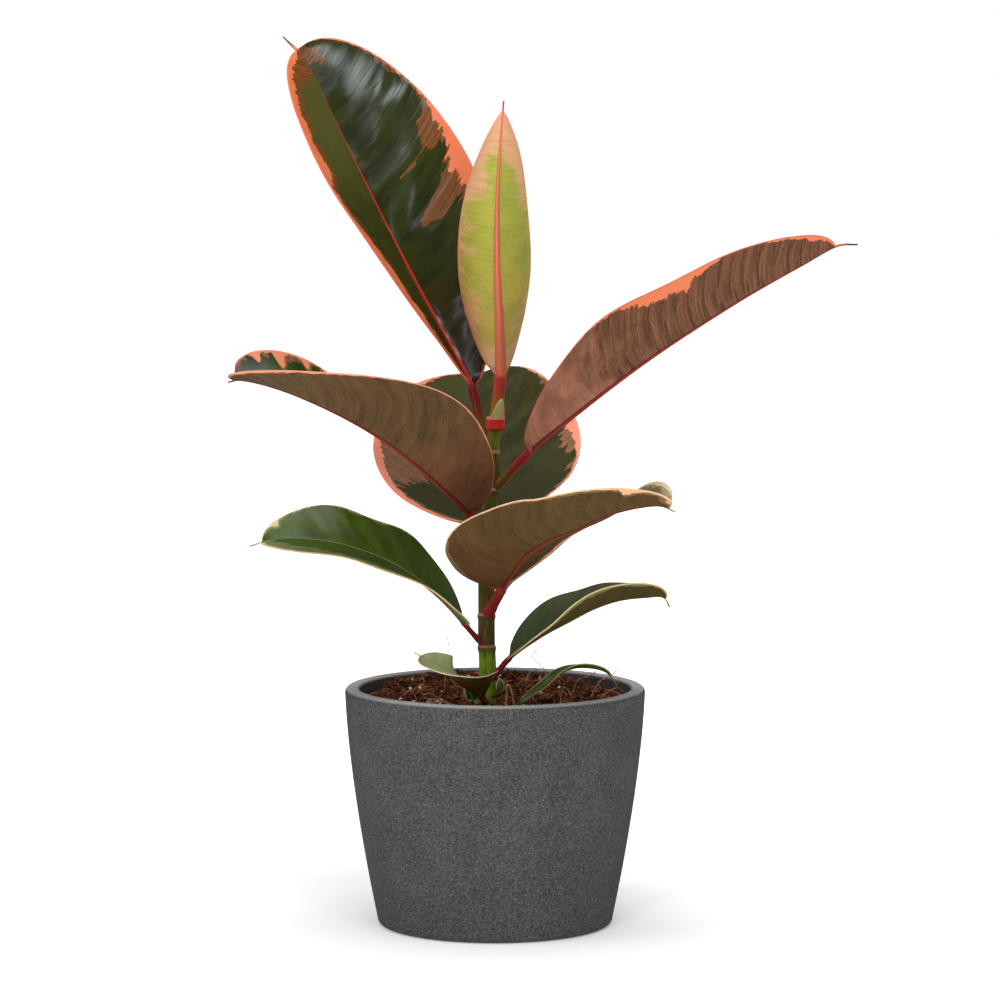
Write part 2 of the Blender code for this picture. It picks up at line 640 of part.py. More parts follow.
def stem_mesh():
    """A tube along the stem's middle line, a little thicker at each node."""
    line, _ = smooth_line(STEM_AXIS)
    heights = sorted({
        *np.linspace(STEM_AXIS[0][2], STEM_AXIS[-1][2], STEM_RINGS),
        *(node + side for node in STEM_NODES for side in (-NODE_SPREAD, 0, NODE_SPREAD)),
    })
    curve = bpy.data.curves.new("stem", "CURVE")
    curve.dimensions = "3D"
    curve.bevel_depth = MM
    curve.bevel_resolution = 2
    curve.use_fill_caps = True
    spline = curve.splines.new("POLY")
    spline.points.add(len(heights) - 1)
    for point, height in zip(spline.points, heights):
        x, y, radius = (np.interp(height, line[:, 2], line[:, k]) for k in (0, 1, 3))
        ridge = sum(math.exp(-(((height - node) / NODE_SPREAD) ** 2)) for node in STEM_NODES)
        point.co = (x * MM, y * MM, height * MM, 1)
        point.radius = radius + NODE_RIDGE * min(ridge, 1)
    tube = bpy.data.objects.new("stem_tube", curve)
    bpy.context.scene.collection.objects.link(tube)
    graph = bpy.context.evaluated_depsgraph_get()
    body = bmesh.new()
    body.from_mesh(bpy.data.meshes.new_from_object(tube.evaluated_get(graph)))
    bpy.data.objects.remove(tube)
    bmesh.ops.remove_doubles(body, verts=body.verts, dist=WELD * MM)
    return mesh_of(body, "stem")


def make_stem(collection, cutters, forms):
    """The stem with a short stub for each stalk that grows on it."""
    mesh = stem_mesh()
    mesh.shade_smooth()
    stem = add_object("stem", mesh, material("stem_bark", (0.09, 0.11, 0.03), 0.45), collection)
    stubs = child_collection("stalk_stubs", cutters)
    for form in forms:
        leaf = form.leaf
        if leaf["name"] in LEAVES_WITHOUT_STUB:
            continue
        distances = np.linspace(0, form.root_distance() - GAP, STUB_RINGS)
        rings = circle_rings(form, distances, leaf["stalk"] * STUB_FLARE)
        as_cutter(lofted(leaf["name"].replace("leaf", "stub"), rings, None, stubs))
    boolean(stem, stubs, "UNION")
    return stem


def make_stem_hole(cutters):
    """A plain hole in the soil for the stem's foot, open at the top."""
    x, y, foot, radius = STEM_AXIS[0]
    bottom = foot - GAP
    top = PLANTER_HEIGHT
    middle = (x, y, (bottom + top) / 2)
    height = top - bottom
    return round_cutter("stem_hole_cutter", radius + 2 * GAP, height, middle, STEM_HOLE_SEGMENTS, cutters)


def make_stalk_holes(cutters, forms):
    """Holes for the stalks that rise straight out of the soil."""
    holes = child_collection("stalk_hole_cutters", cutters)
    for form in forms:
        distances = np.linspace(0, form.blade_start + STALK_HOLE_REACH, STUB_RINGS)
        rings = circle_rings(form, distances, form.leaf["stalk"] + 2 * GAP)
        rings[0] = rings[0] - [0, 0, GAP]
        as_cutter(lofted(form.leaf["name"].replace("leaf", "hole"), rings, None, holes))
    return holes


def make_sheath(collection):
    """A thin band round the stem's tip whose front rises into a pointed flap."""
    top = SHEATH_BAND + SHEATH_HEM
    body = spun([(SHEATH_RADIUS, top), (SHEATH_RADIUS, SHEATH_BAND), (SHEATH_RADIUS, 0)], SHEATH_STEPS)
    for corner in body.verts:
        if corner.co.z > (top - SHEATH_HEM / 2) * MM:
            angle = math.atan2(corner.co.y, corner.co.x)
            facing = max(math.cos(angle - math.radians(FLAP_ANGLE)), 0)
            corner.co.z += SHEATH_FLAP * facing**FLAP_SHARPNESS * MM
    bmesh.ops.recalc_face_normals(body, faces=body.faces)
    mesh = mesh_of(body, "stipule_sheath")
    mesh.shade_smooth()
    sheath = add_object("stipule_sheath", mesh, material("stipule_red", (0.45, 0.05, 0.05), 0.5), collection)
    sheath.location = [value * MM for value in (*SHEATH_MIDDLE, SHEATH_BOTTOM)]
    wall = sheath.modifiers.new("wall", "SOLIDIFY")
    wall.thickness = SHEATH_WALL * MM
    wall.offset = 1
    return sheath


# Leaves

def make_leaf(form, look, collection):
    return lofted(form.leaf["name"], [form.ring(d) for d in form.sections()], look, collection)


def main():
    for old in list(bpy.data.objects):
        bpy.data.objects.remove(old)
    plant = bpy.data.collections.new("rubber_plant")
    cutters = bpy.data.collections.new("cutters")
    for made in (plant, cutters):
        bpy.context.scene.collection.children.link(made)

    forms = [LeafForm(leaf) for leaf in LEAVES]
    in_soil = [form for form in forms if form.leaf["name"] in LEAVES_IN_SOIL]
    pieces = [
        make_planter(plant),
        make_nursery_pot(plant, cutters),
        make_soil(plant, make_stem_hole(cutters), make_stalk_holes(cutters, in_soil)),
        make_stem(plant, cutters, forms),
        make_sheath(plant),
    ]
    green = material("leaf_green", (0.05, 0.09, 0.03), 0.3)
    bronze = material("leaf_bronze", (0.16, 0.08, 0.05), 0.5)
    lime = material("leaf_lime", (0.3, 0.35, 0.08), 0.4)
    looks = {"leaf_new": lime, "leaf_right": bronze, "leaf_left": bronze, "leaf_front": bronze}
    for form in forms:
        pieces.append(make_leaf(form, looks.get(form.leaf["name"], green), plant))

    stand = bpy.data.objects.new("rubber_plant_stand", None)
    plant.objects.link(stand)
    for piece in pieces:
        piece.parent = stand


main()
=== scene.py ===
"""Looks of the potted rubber plant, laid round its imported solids.

Blender works in metres with +Z up, and the plant's front faces -Y. Sizes below are in millimetres and
degrees, and colours are sRGB values from 0 to 255.
"""

import math
import random

import bpy
import numpy as np
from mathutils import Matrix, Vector, noise


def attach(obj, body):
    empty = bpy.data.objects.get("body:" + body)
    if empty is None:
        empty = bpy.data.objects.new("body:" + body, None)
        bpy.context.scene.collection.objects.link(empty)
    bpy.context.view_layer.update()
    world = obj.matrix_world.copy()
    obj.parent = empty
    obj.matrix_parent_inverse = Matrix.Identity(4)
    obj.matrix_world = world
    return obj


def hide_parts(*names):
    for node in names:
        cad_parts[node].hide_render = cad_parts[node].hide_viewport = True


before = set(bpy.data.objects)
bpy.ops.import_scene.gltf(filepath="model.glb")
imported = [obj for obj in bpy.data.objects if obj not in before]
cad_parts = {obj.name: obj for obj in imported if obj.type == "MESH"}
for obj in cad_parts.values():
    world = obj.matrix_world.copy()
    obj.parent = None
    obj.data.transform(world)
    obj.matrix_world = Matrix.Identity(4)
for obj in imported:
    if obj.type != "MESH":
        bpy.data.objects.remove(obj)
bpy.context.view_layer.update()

MM = 0.001
BODY = "root"

# Camera and light. The camera's clipping is in metres. A light has its name, its direction (degrees from
# the front, degrees up), the side of its square, its power, its colour, and whether it shows as shine.
CAMERA_PLACE = (2.3, -2180.0, 408.65)
CAMERA_PITCH = 5.5
CAMERA_LENS = 169.7
CAMERA_SENSOR = 36
CAMERA_CLIP = (0.05, 50)
FLOOR_SIDE = 9000
FLOOR_DROP = 0.1
FLOOR_GLOW = 0.3
FLOOR_FADE = (120, 900)
WORLD_LIGHT = 0.17
LIGHT_DISTANCE = 2000.0
LIGHT_AIM = 200.0
LIGHTS = (
    ("top_softbox", (0, 87), 1500, 36, (1, 1, 1), True),
    ("left_softbox", (-72, 34), 1100, 4.4, (1, 1, 1), False),
    ("right_softbox", (66, 36), 1100, 0.3, (1, 1, 1), False),
    ("front_fill", (10, 50), 700, 6.5, (1, 1, 1), False),
    ("window_light", (-16, 22), 280, 5.5, (0.86, 0.94, 1), True),
    ("upper_window", (-15, 33), 80, 0.45, (0.86, 0.94, 1), True),
)

# Planter.
PLANTER_HEIGHT = 111.5
PLANTER_RIM_RADIUS = 70.0
PLANTER_FOOT_RADIUS = 54.4
PLANTER_SWELL = 1.5
PLANTER_WALL = 6.9
PLANTER_FLOOR = 8.0
RIM_OUTER_ROUND = 2.4
RIM_INNER_ROUND = 2.0
FOOT_ROUND = 3.2
FLOOR_ROUND = 6.0
PLANTER_STEPS = 180
PLANTER_INNER_ROWS = 16
PLANTER_OUTER_ROWS = 40
FLOOR_ROUND_POINTS = 7
RIM_INNER_POINTS = 8
RIM_OUTER_POINTS = 10
FOOT_POINTS = 10

# Soil.
SOIL_MIDDLE = 102.2
SOIL_HEAP = 4.2
SOIL_HEAP_BACK = 3.8
SOIL_HEAP_LEFT = 0.9
SOIL_SHOULDER = 50.0
SOIL_EDGE_DROP = 3.2
SOIL_EDGE_WIDTH = 8.0
SOIL_LUMP = 0.7
SOIL_LEVEL_RADIUS = 8.0
SOIL_LUMP_RISE = 12.0
SOIL_RADIUS = 58.2
SOIL_STEP_RADIUS = 55.3
SOIL_STEP_HEIGHT = 98.5
SOIL_SIDE_HEIGHT = 3.0
SOIL_FOOT_RADIUS = 39.7
SOIL_BOTTOM = 9.8
SOIL_RINGS = 80
SOIL_STEPS = 260
CRUMBLE_SCALE = 0.17
CRUMBLE_HEIGHT = 2.6
CRUMBLE_DROP = 0.9
CRUMBLE_SLICE = 2.0
CRUMBLE_FRACTAL = (0.65, 2.1, 5)
STEM_FOOT = (-4, 0)
STEM_CLEAR = 6

# Loose bits on the soil, and the roots that stand out of it as (points, radius).
CRUMB_SEED = 5
CRUMBS = 1300
CRUMB_SIZES = (0.4, 1.1)
CRUMB_LENGTHS = (1, 3)
CRUMB_FLATNESS = 0.6
CRUMB_CLEAR = 1.5
CRUMB_LIFT = 0.1
LARGE_CRUMBS = 420
LARGE_CRUMB_SIZES = ((1.6, 4.2), (0.7, 1.6), (0.5, 1.1))
LARGE_CRUMB_CLEAR = 5
LARGE_CRUMB_LIFT = 0.6
LUMP_ROUGHNESS = 0.45
LUMP_SCALE = 1.3
LUMP_TILT = 0.6
LUMP_SHIFT = 50
FIBRE_SEED = 11
FIBRES = 2200
FIBRE_LENGTHS = (4, 15)
FIBRE_STEPS = 6
FIBRE_LEAST_POINTS = 4
FIBRE_BEND = 0.2
FIBRE_RISE = 2.2
FIBRE_LIFT = 0.2
FIBRE_CLEAR = 4
FIBRE_END_CLEAR = 1
FIBRE_RADII = (0.15, 0.5)
STRAND_SIDE = (0.3, 0.2, 1.0)
PERLITE_SEED = 3
PERLITE_GRAINS = 70
PERLITE_GROUP = 34
PERLITE_PLACE = (-26, -14)
PERLITE_SPREAD = (11, 12)
PERLITE_RISE = 1.7
PERLITE_SIZES = (0.5, 0.95)
PERLITE_CLEAR = 6
PERLITE_EDGE_CLEAR = 4
ROOT_STEPS = 6
ROOT_SIDES = 6
ROOTS = [
    ([(5, -31, 104), (5.2, -30, 110), (5.6, -30, 116.4), (6.6, -30, 115.8), (8.6, -30, 108),
      (9, -30, 103)], 0.38),
    ([(14.5, -8, 112), (14.8, -8, 117), (16.5, -8, 119.3), (18.5, -8, 119.8)], 0.18),
    ([(25.5, -8, 112), (22.6, -8, 120.7), (17.4, -8, 126.5), (19.5, -8, 129.8)], 0.19),
    ([(22, -8, 112), (20.5, -8, 119), (18.6, -8, 121.2), (16.8, -8, 123.2)], 0.17),
    ([(-24, 10, 105), (-22.5, 10, 122.5), (-21.6, 10, 128), (-22.5, 10, 134)], 0.17),
    ([(36, 2, 108), (39, 4, 114), (43.5, 5, 115.5), (47.5, 5, 118)], 0.24),
    ([(44, 4, 104), (49, 6, 113), (54.5, 8, 115.5), (57, 8, 118)], 0.26),
    ([(46, -6, 103), (52, -4, 109), (57.5, -2, 111), (60, -2, 109)], 0.24),
    ([(30, -14, 103), (31, -14, 110), (32, -13, 113), (36, -12, 108)], 0.26),
    ([(-14, -24, 103), (-18, -24, 105.5), (-24, -25, 107.5), (-31, -25, 107)], 0.42),
    ([(-20, -16, 104), (-26, -17, 108), (-30, -18, 110.5), (-33, -18, 110)], 0.24),
    ([(-36, -14, 104), (-37, -15, 109), (-40, -16, 111.5), (-42, -17, 110)], 0.24),
]

# Stem: (x, y, z, radius) along its middle.
STEM_AXIS = [
    (-4, 0, 60, 4.2), (-4, 0, 91, 4.2), (-4, 0, 105, 4.1), (-3.5, 0, 120, 4.0), (-4, 0, 133, 4.0),
    (-4, 0, 148, 3.9), (-4, 0, 170.5, 3.8), (-3.5, 0, 189.5, 3.6), (-1, 0, 206, 3.4), (-1, 0, 224.5, 3.1),
    (0, 0, 232.5, 3.1), (0.5, 0, 236, 2.9),
]
STEM_NODES = (104, 113, 129.5, 144.5, 171, 176, 203, 220.5)
STEM_SIDES = 28
STEM_STEP = 0.7
NODE_RIDGE = 0.45
NODE_SPREAD = 1.2
SCAR_RISE = 1.7
SCAR_DEPTH = 0.16
SCAR_SPREAD = 0.35
RING_RISE = 0.6
BARK_WOBBLE = 0.12
BARK_WOBBLE_SCALE = (1.2, 1.2, 0.06)
BARK_FOOT = (138, 172, 36)
BARK_BANDS = ((124, 131, (90, 72, 22)), (146, 162, (80, 80, 20)), (212, 226, (112, 108, 16)))

# Stipule.
SHEATH_MIDDLE = (0.3, 0)
SHEATH_BOTTOM = 231.5
SHEATH_BAND = 6.0
SHEATH_FLAP = 8.5
SHEATH_RADIUS = 3.75
SHEATH_WALL = 0.6
FLAP_ANGLE = -48
FLAP_SHARPNESS = 1.6
FLAP_LEAN = 0.9
FLAP_BEND = 0.45
SHEATH_RIPPLE = 0.25
SHEATH_RIPPLES = 7
FLAP_START = 0.05
SHEATH_STEPS = 64
SHEATH_ROWS = 14

# Leaf blades.
BLADE_THICKNESS = 0.7
EDGE_ROUND = 0.5
EDGE_THINNING = 0.97
BLADE_SECTIONS = 130
SMALL_BLADE_SECTIONS = 60
SMALL_BLADE_LENGTH = 70
STALK_SECTIONS = 16
TIP_SECTIONS = 8
SECTION_EVENNESS = 0.45
OUTER_COLUMNS = 17
RIB_COLUMNS = (0.2, 0.4, 0.6, 0.8, 1.0)
STALK_BLEND = 0.02
LEAST_T = 0.001
RIB_DEPTH = 1.3
RIB_TAPER = 0.85
RIB_SINK = 3
RIB_WIDTH = 0.48
RIB_NARROW = 1.2
RIB_SHOWN = 0.6
RIB_ROUNDING = 1.3
RIB_LEAST = 0.1
RIB_MOST_SHARE = 0.3
TIP_HALF_WIDTH = 0.35
NEEDLE_WIDTH = 0.11
NEEDLE_TAPER = 0.6
NEEDLE_START = 0.5
NEEDLE_RISE = 0.4
RIPPLE_SHIFT = 0.9
CURVE_STEPS = 24
GROOVE_DEPTH = 0.35
GROOVE_WIDTH = 0.8
VEIN_SLANT = 0.22
VEIN_BEND = 0.3
VEIN_PITCH = 7.0
CORRUGATION = 0.045
FULL_RELIEF_LENGTH = 120
LEAF_SPECULAR = 0.2
RAGGED_HALF_WIDTH = 3.0
FINGER_WIDTH = 1.3
JAG_SHARE = 0.6
FINE_JAG_SHARE = 0.16
SIDE_SHIFT = 7.3
SEEDS = 97
DRIP_TIP = (0.955, 0.985)
STALK_FADE = (-0.1, -0.03)
STALK_COLOUR_END = 0.03
STALK_GROOVE = 0.1
STALK_GROOVE_SPREAD = 0.5
STALK_FLARE = 0.22
STALK_FLARE_LENGTH = 3.0
STUB_CLEAR = 0.5
STUB_START = 2.0
STUB_STEP = 0.1
STUB_SIDES = 14

# Noises of the skin, drawn out along the veins: scale across and along them, shift, detail and roughness.
SKIN_GRAINS = dict(
    broad=(0.075, 0.04, 0.0, 3.0, 0.5),
    fingers=(0.3, 0.05, 1.7, 3.0, 0.65),
    ragged=(0.5, 0.3, 3.3, 3.0, 0.6),
    broad_tone=(0.09, 0.05, 5.1, 4.0, 0.55),
    fingers_tone=(0.35, 0.06, 6.2, 3.0, 0.6),
    mottle=(0.1, 0.05, 8.4, 4.0, 0.6),
    fine=(1.3, 0.05, 0.0, 2.0, 0.5),
    wander=(0.05, 0.03, 9.5, 2.0, 0.5),
    faint=(0.2, 0.1, 2.2, 2.0, 0.5),
    net=(0.8, 0.6, 4.4, 4.0, 0.7),
    pores=(1.1, 0.7, 5.5, 3.0, 0.6),
    swell=(0.035, 0.03, 7.7, 1.0, 0.5),
    quilt=(0.14, 0.04, 6.6, 0.0, 0.5),
)


def half_blade(reach, fold, curl=(10,)):
    """One half of a blade: how far it reaches, how steeply it rises from the rib, and how far it curls."""
    return dict(reach=reach, fold=fold, curl=curl)


COMMON_FORM = dict(base=2, turn=[0], widest=0.5, blunt=(0.6, 0.6), wave=(0.0, 2.0, 0.0))

# Each leaf's form, as in the part's source: its middle line, the point of it where the blade begins, how it
# faces and turns, and its two halves. COMMON_FORM has what holds unless a leaf says otherwise.
LEAVES = [
    dict(
        COMMON_FORM, name="leaf_top_left",
        line=[(-1, 0, 220.5), (-6, 5, 230.5), (-10.5, 11, 249), (-19, 17, 265.5), (-32.5, 26, 289),
              (-52.5, 42, 326.5), (-74, 56, 369.5), (-90.5, 64, 402), (-100.5, 66, 413)],
        face=(0.1, -0.95, 0.3),
        left=half_blade([34, 43, 47.5, 48.5, 49], [60, 59, 55, 51, 42], [12]),
        right=half_blade([47, 49, 49, 54], [5, 8, 8], [12, 10]),
        tip=9, widest=0.55, blunt=(0.6, 0.5), stalk=2.2, wave=(1.0, 2.5, 0.0),
    ),
    dict(
        COMMON_FORM, name="leaf_new",
        line=[(0.5, 0, 236.3), (1.5, 0, 245.5), (2.5, -2, 256.5), (2, -9, 280), (1, -12, 304),
              (1, -10, 338), (2.5, -4, 365.5), (4, 2, 383.5)],
        face=(0.05, 1, 0),
        left=half_blade([20, 25, 25, 33], [35], [40]),
        right=half_blade([34, 30, 29], [28], [40]),
        tip=5, widest=0.48, blunt=(0.45, 0.72), stalk=2.9,
    ),
    dict(
        COMMON_FORM, name="leaf_right",
        line=[(-1, 0, 203), (4, -2.5, 208.5), (15.5, -9, 221.5), (36, -17, 238.5), (71, -28, 265.5),
              (112.5, -38, 293.5), (139.5, -42, 309.5), (156, -42, 318.5), (164.5, -41, 319)],
        face=(-0.5, 0.1, 0.85),
        left=half_blade([38], [25], [15]),
        right=half_blade([34, 36, 33.5, 43], [34, 36, 34, 36], [20]),
        tip=10, blunt=(0.62, 0.55), stalk=2.1, wave=(0.6, 3.0, 0.5),
    ),
    dict(
        COMMON_FORM, name="leaf_back",
        line=[(-4, 0, 171), (-4, 10, 177), (-4.5, 20, 183.5), (-6, 45, 193.5), (-8, 75, 206),
              (-9, 108, 222.5), (-9, 142, 240.5), (-8.5, 164, 251)],
        face=(0, -0.5, 0.85),
        left=half_blade([66, 50, 46], [2, 10, 12]),
        right=half_blade([64, 50, 46], [10, 12, 26, 32]),
        tip=12, blunt=(0.5, 0.6), stalk=2.4, wave=(1.0, 2.5, 2.0),
    ),
    dict(
        COMMON_FORM, name="leaf_left",
        line=[(-4, 0, 176), (-8, -9, 183.5), (-11.5, -20, 193), (-22.5, -34, 205), (-38, -44, 219.5),
              (-52.5, -50, 231), (-72.5, -55, 243), (-98.5, -58, 254.5), (-115.5, -58, 258.5),
              (-120.5, -57, 257.5)],
        face=(0.45, 0.1, 0.88), turn=[0, -2, -16, -36, -48],
        left=half_blade([44, 41, 41], [50, 50, 46, 42]),
        right=half_blade([40, 32, 27, 30], [20, 12, 8, 14]),
        tip=3, widest=0.53, blunt=(0.55, 0.28), stalk=2.1, wave=(0.6, 2.5, 1.0),
    ),
    dict(
        COMMON_FORM, name="leaf_front",
        line=[(-4, 0, 144.5), (-0.5, -9.5, 151.5), (3, -20, 159), (8.5, -34, 168), (15.5, -48, 178),
              (26.5, -60, 186), (38, -68, 191.5), (50.5, -76, 198.5), (65, -82, 203), (74.5, -85, 204),
              (80.5, -85, 201.5)],
        face=(-0.2, 0.3, 0.9),
        left=half_blade([37, 32, 29], [14, 13, 16, 56]),
        right=half_blade([47, 39, 28], [8, 12, 8, 5]),
        tip=3, widest=0.48, blunt=(0.6, 0.3), stalk=2.4, wave=(0.5, 3.0, 3.0),
    ),
    dict(
        COMMON_FORM, name="leaf_lower_left",
        line=[(-4, 0, 129.5), (-9.5, -5, 136), (-14.5, -12, 142.5), (-26.5, -22, 156), (-42.5, -30, 169),
              (-58, -34, 177), (-74, -36, 182), (-89.5, -36, 184), (-104, -34, 183), (-112.5, -33, 180.5)],
        face=(0.35, -0.35, 0.85),
        left=half_blade([36, 32, 27, 32, 30], [14, 10, 4, 2], [4]),
        right=half_blade([34, 30, 26.5, 30, 37], [14, 16, 24], [6]),
        tip=6, blunt=(0.6, 0.5), stalk=1.3, wave=(0.8, 3.0, 1.0),
    ),
    dict(
        COMMON_FORM, name="leaf_lower_right",
        line=[(-3.5, 0, 113), (1.5, -6, 119.5), (6.5, -12, 126), (20, -22, 136.5), (35, -30, 145.5),
              (46.5, -35, 152), (57.5, -38, 156), (68.5, -39, 157.5), (77, -38, 157.5), (80, -37, 153)],
        face=(-0.3, -0.25, 0.9),
        left=half_blade([35, 26, 22, 29], [26, 13, 4, 0]),
        right=half_blade([22, 22, 24], [0, 8, 30, 58]),
        tip=4.5, stalk=1.5, wave=(0.4, 3.0, 2.0),
    ),
    dict(
        COMMON_FORM, name="leaf_low_front",
        line=[(-4, 0, 103), (-6, -12, 107.5), (-9, -21, 112), (-12.5, -30, 116), (-18.5, -36, 120.5),
              (-25, -37, 124.5), (-31, -34, 128), (-37, -29, 131)],
        base=1, face=(-0.43, 0.73, 0.39), turn=[0, -25, -85, -125],
        left=half_blade([15, 16, 14], [5, 0, 0]),
        right=half_blade([12, 13, 14], [60, 30, 10]),
        tip=4, blunt=(0.45, 0.6), stalk=1.6,
    ),
    dict(
        COMMON_FORM, name="leaf_low_right",
        line=[(9.5, -9, 94), (11, -11, 104), (16, -12, 109), (23, -13, 114), (31, -13, 119.5),
              (39.5, -11, 121.5), (52, -8, 118.8), (57, -6, 112)],
        base=1, face=(-0.3, -0.8, 0.4), turn=[0, 0, -55, -80, -100],
        left=half_blade([2.7, 2.8, 3.8, 3], [15]),
        right=half_blade([2.7, 2.8, 3.8, 3], [15]),
        tip=5, stalk=1.2,
    ),
    dict(
        COMMON_FORM, name="leaf_bud_left",
        line=[(-9.5, -6, 94), (-10.2, -6, 103.4), (-11, -6.2, 107), (-12.5, -6.5, 111.5), (-14.3, -6.8, 116)],
        base=1, face=(0.3, -0.9, 0.3),
        left=half_blade([3.5], [10]),
        right=half_blade([3.3], [10]),
        tip=1.5, stalk=0.9,
    ),
    dict(
        COMMON_FORM, name="leaf_bud_right",
        line=[(-4, 0, 106.8), (0, -4.2, 107.6), (1.6, -5.6, 108.8), (2.4, -6.2, 111.5), (2.3, -6.4, 114.5),
              (1.4, -6.4, 117)],
        face=(0.2, -0.9, 0.2),
        left=half_blade([2.2], [10]),
        right=half_blade([2.2], [10]),
        tip=1, stalk=0.8,
    ),
]
LEAVES_IN_SOIL = ("leaf_low_right", "leaf_bud_left")
LEAVES_WITHOUT_STUB = ("leaf_new", *LEAVES_IN_SOIL)

# Colours of each leaf and how its variegation runs. A face has a main and a second colour. margin and tone
# are the widths, from base to tip, of the pale margin and of the half tone inside it, for the left and the
# right half. A patch widens its band by its last value. Its first value is the share of the blade's length at
# which the vein there leaves the rib, its second the share across, with a minus on the left half, and the two
# between are spreads round these. margin_jag and tone_jag are how far the bands' edges wander.
SALMON = (240, 128, 86)
PEACH = (234, 158, 116)
CREAM = (232, 212, 156)

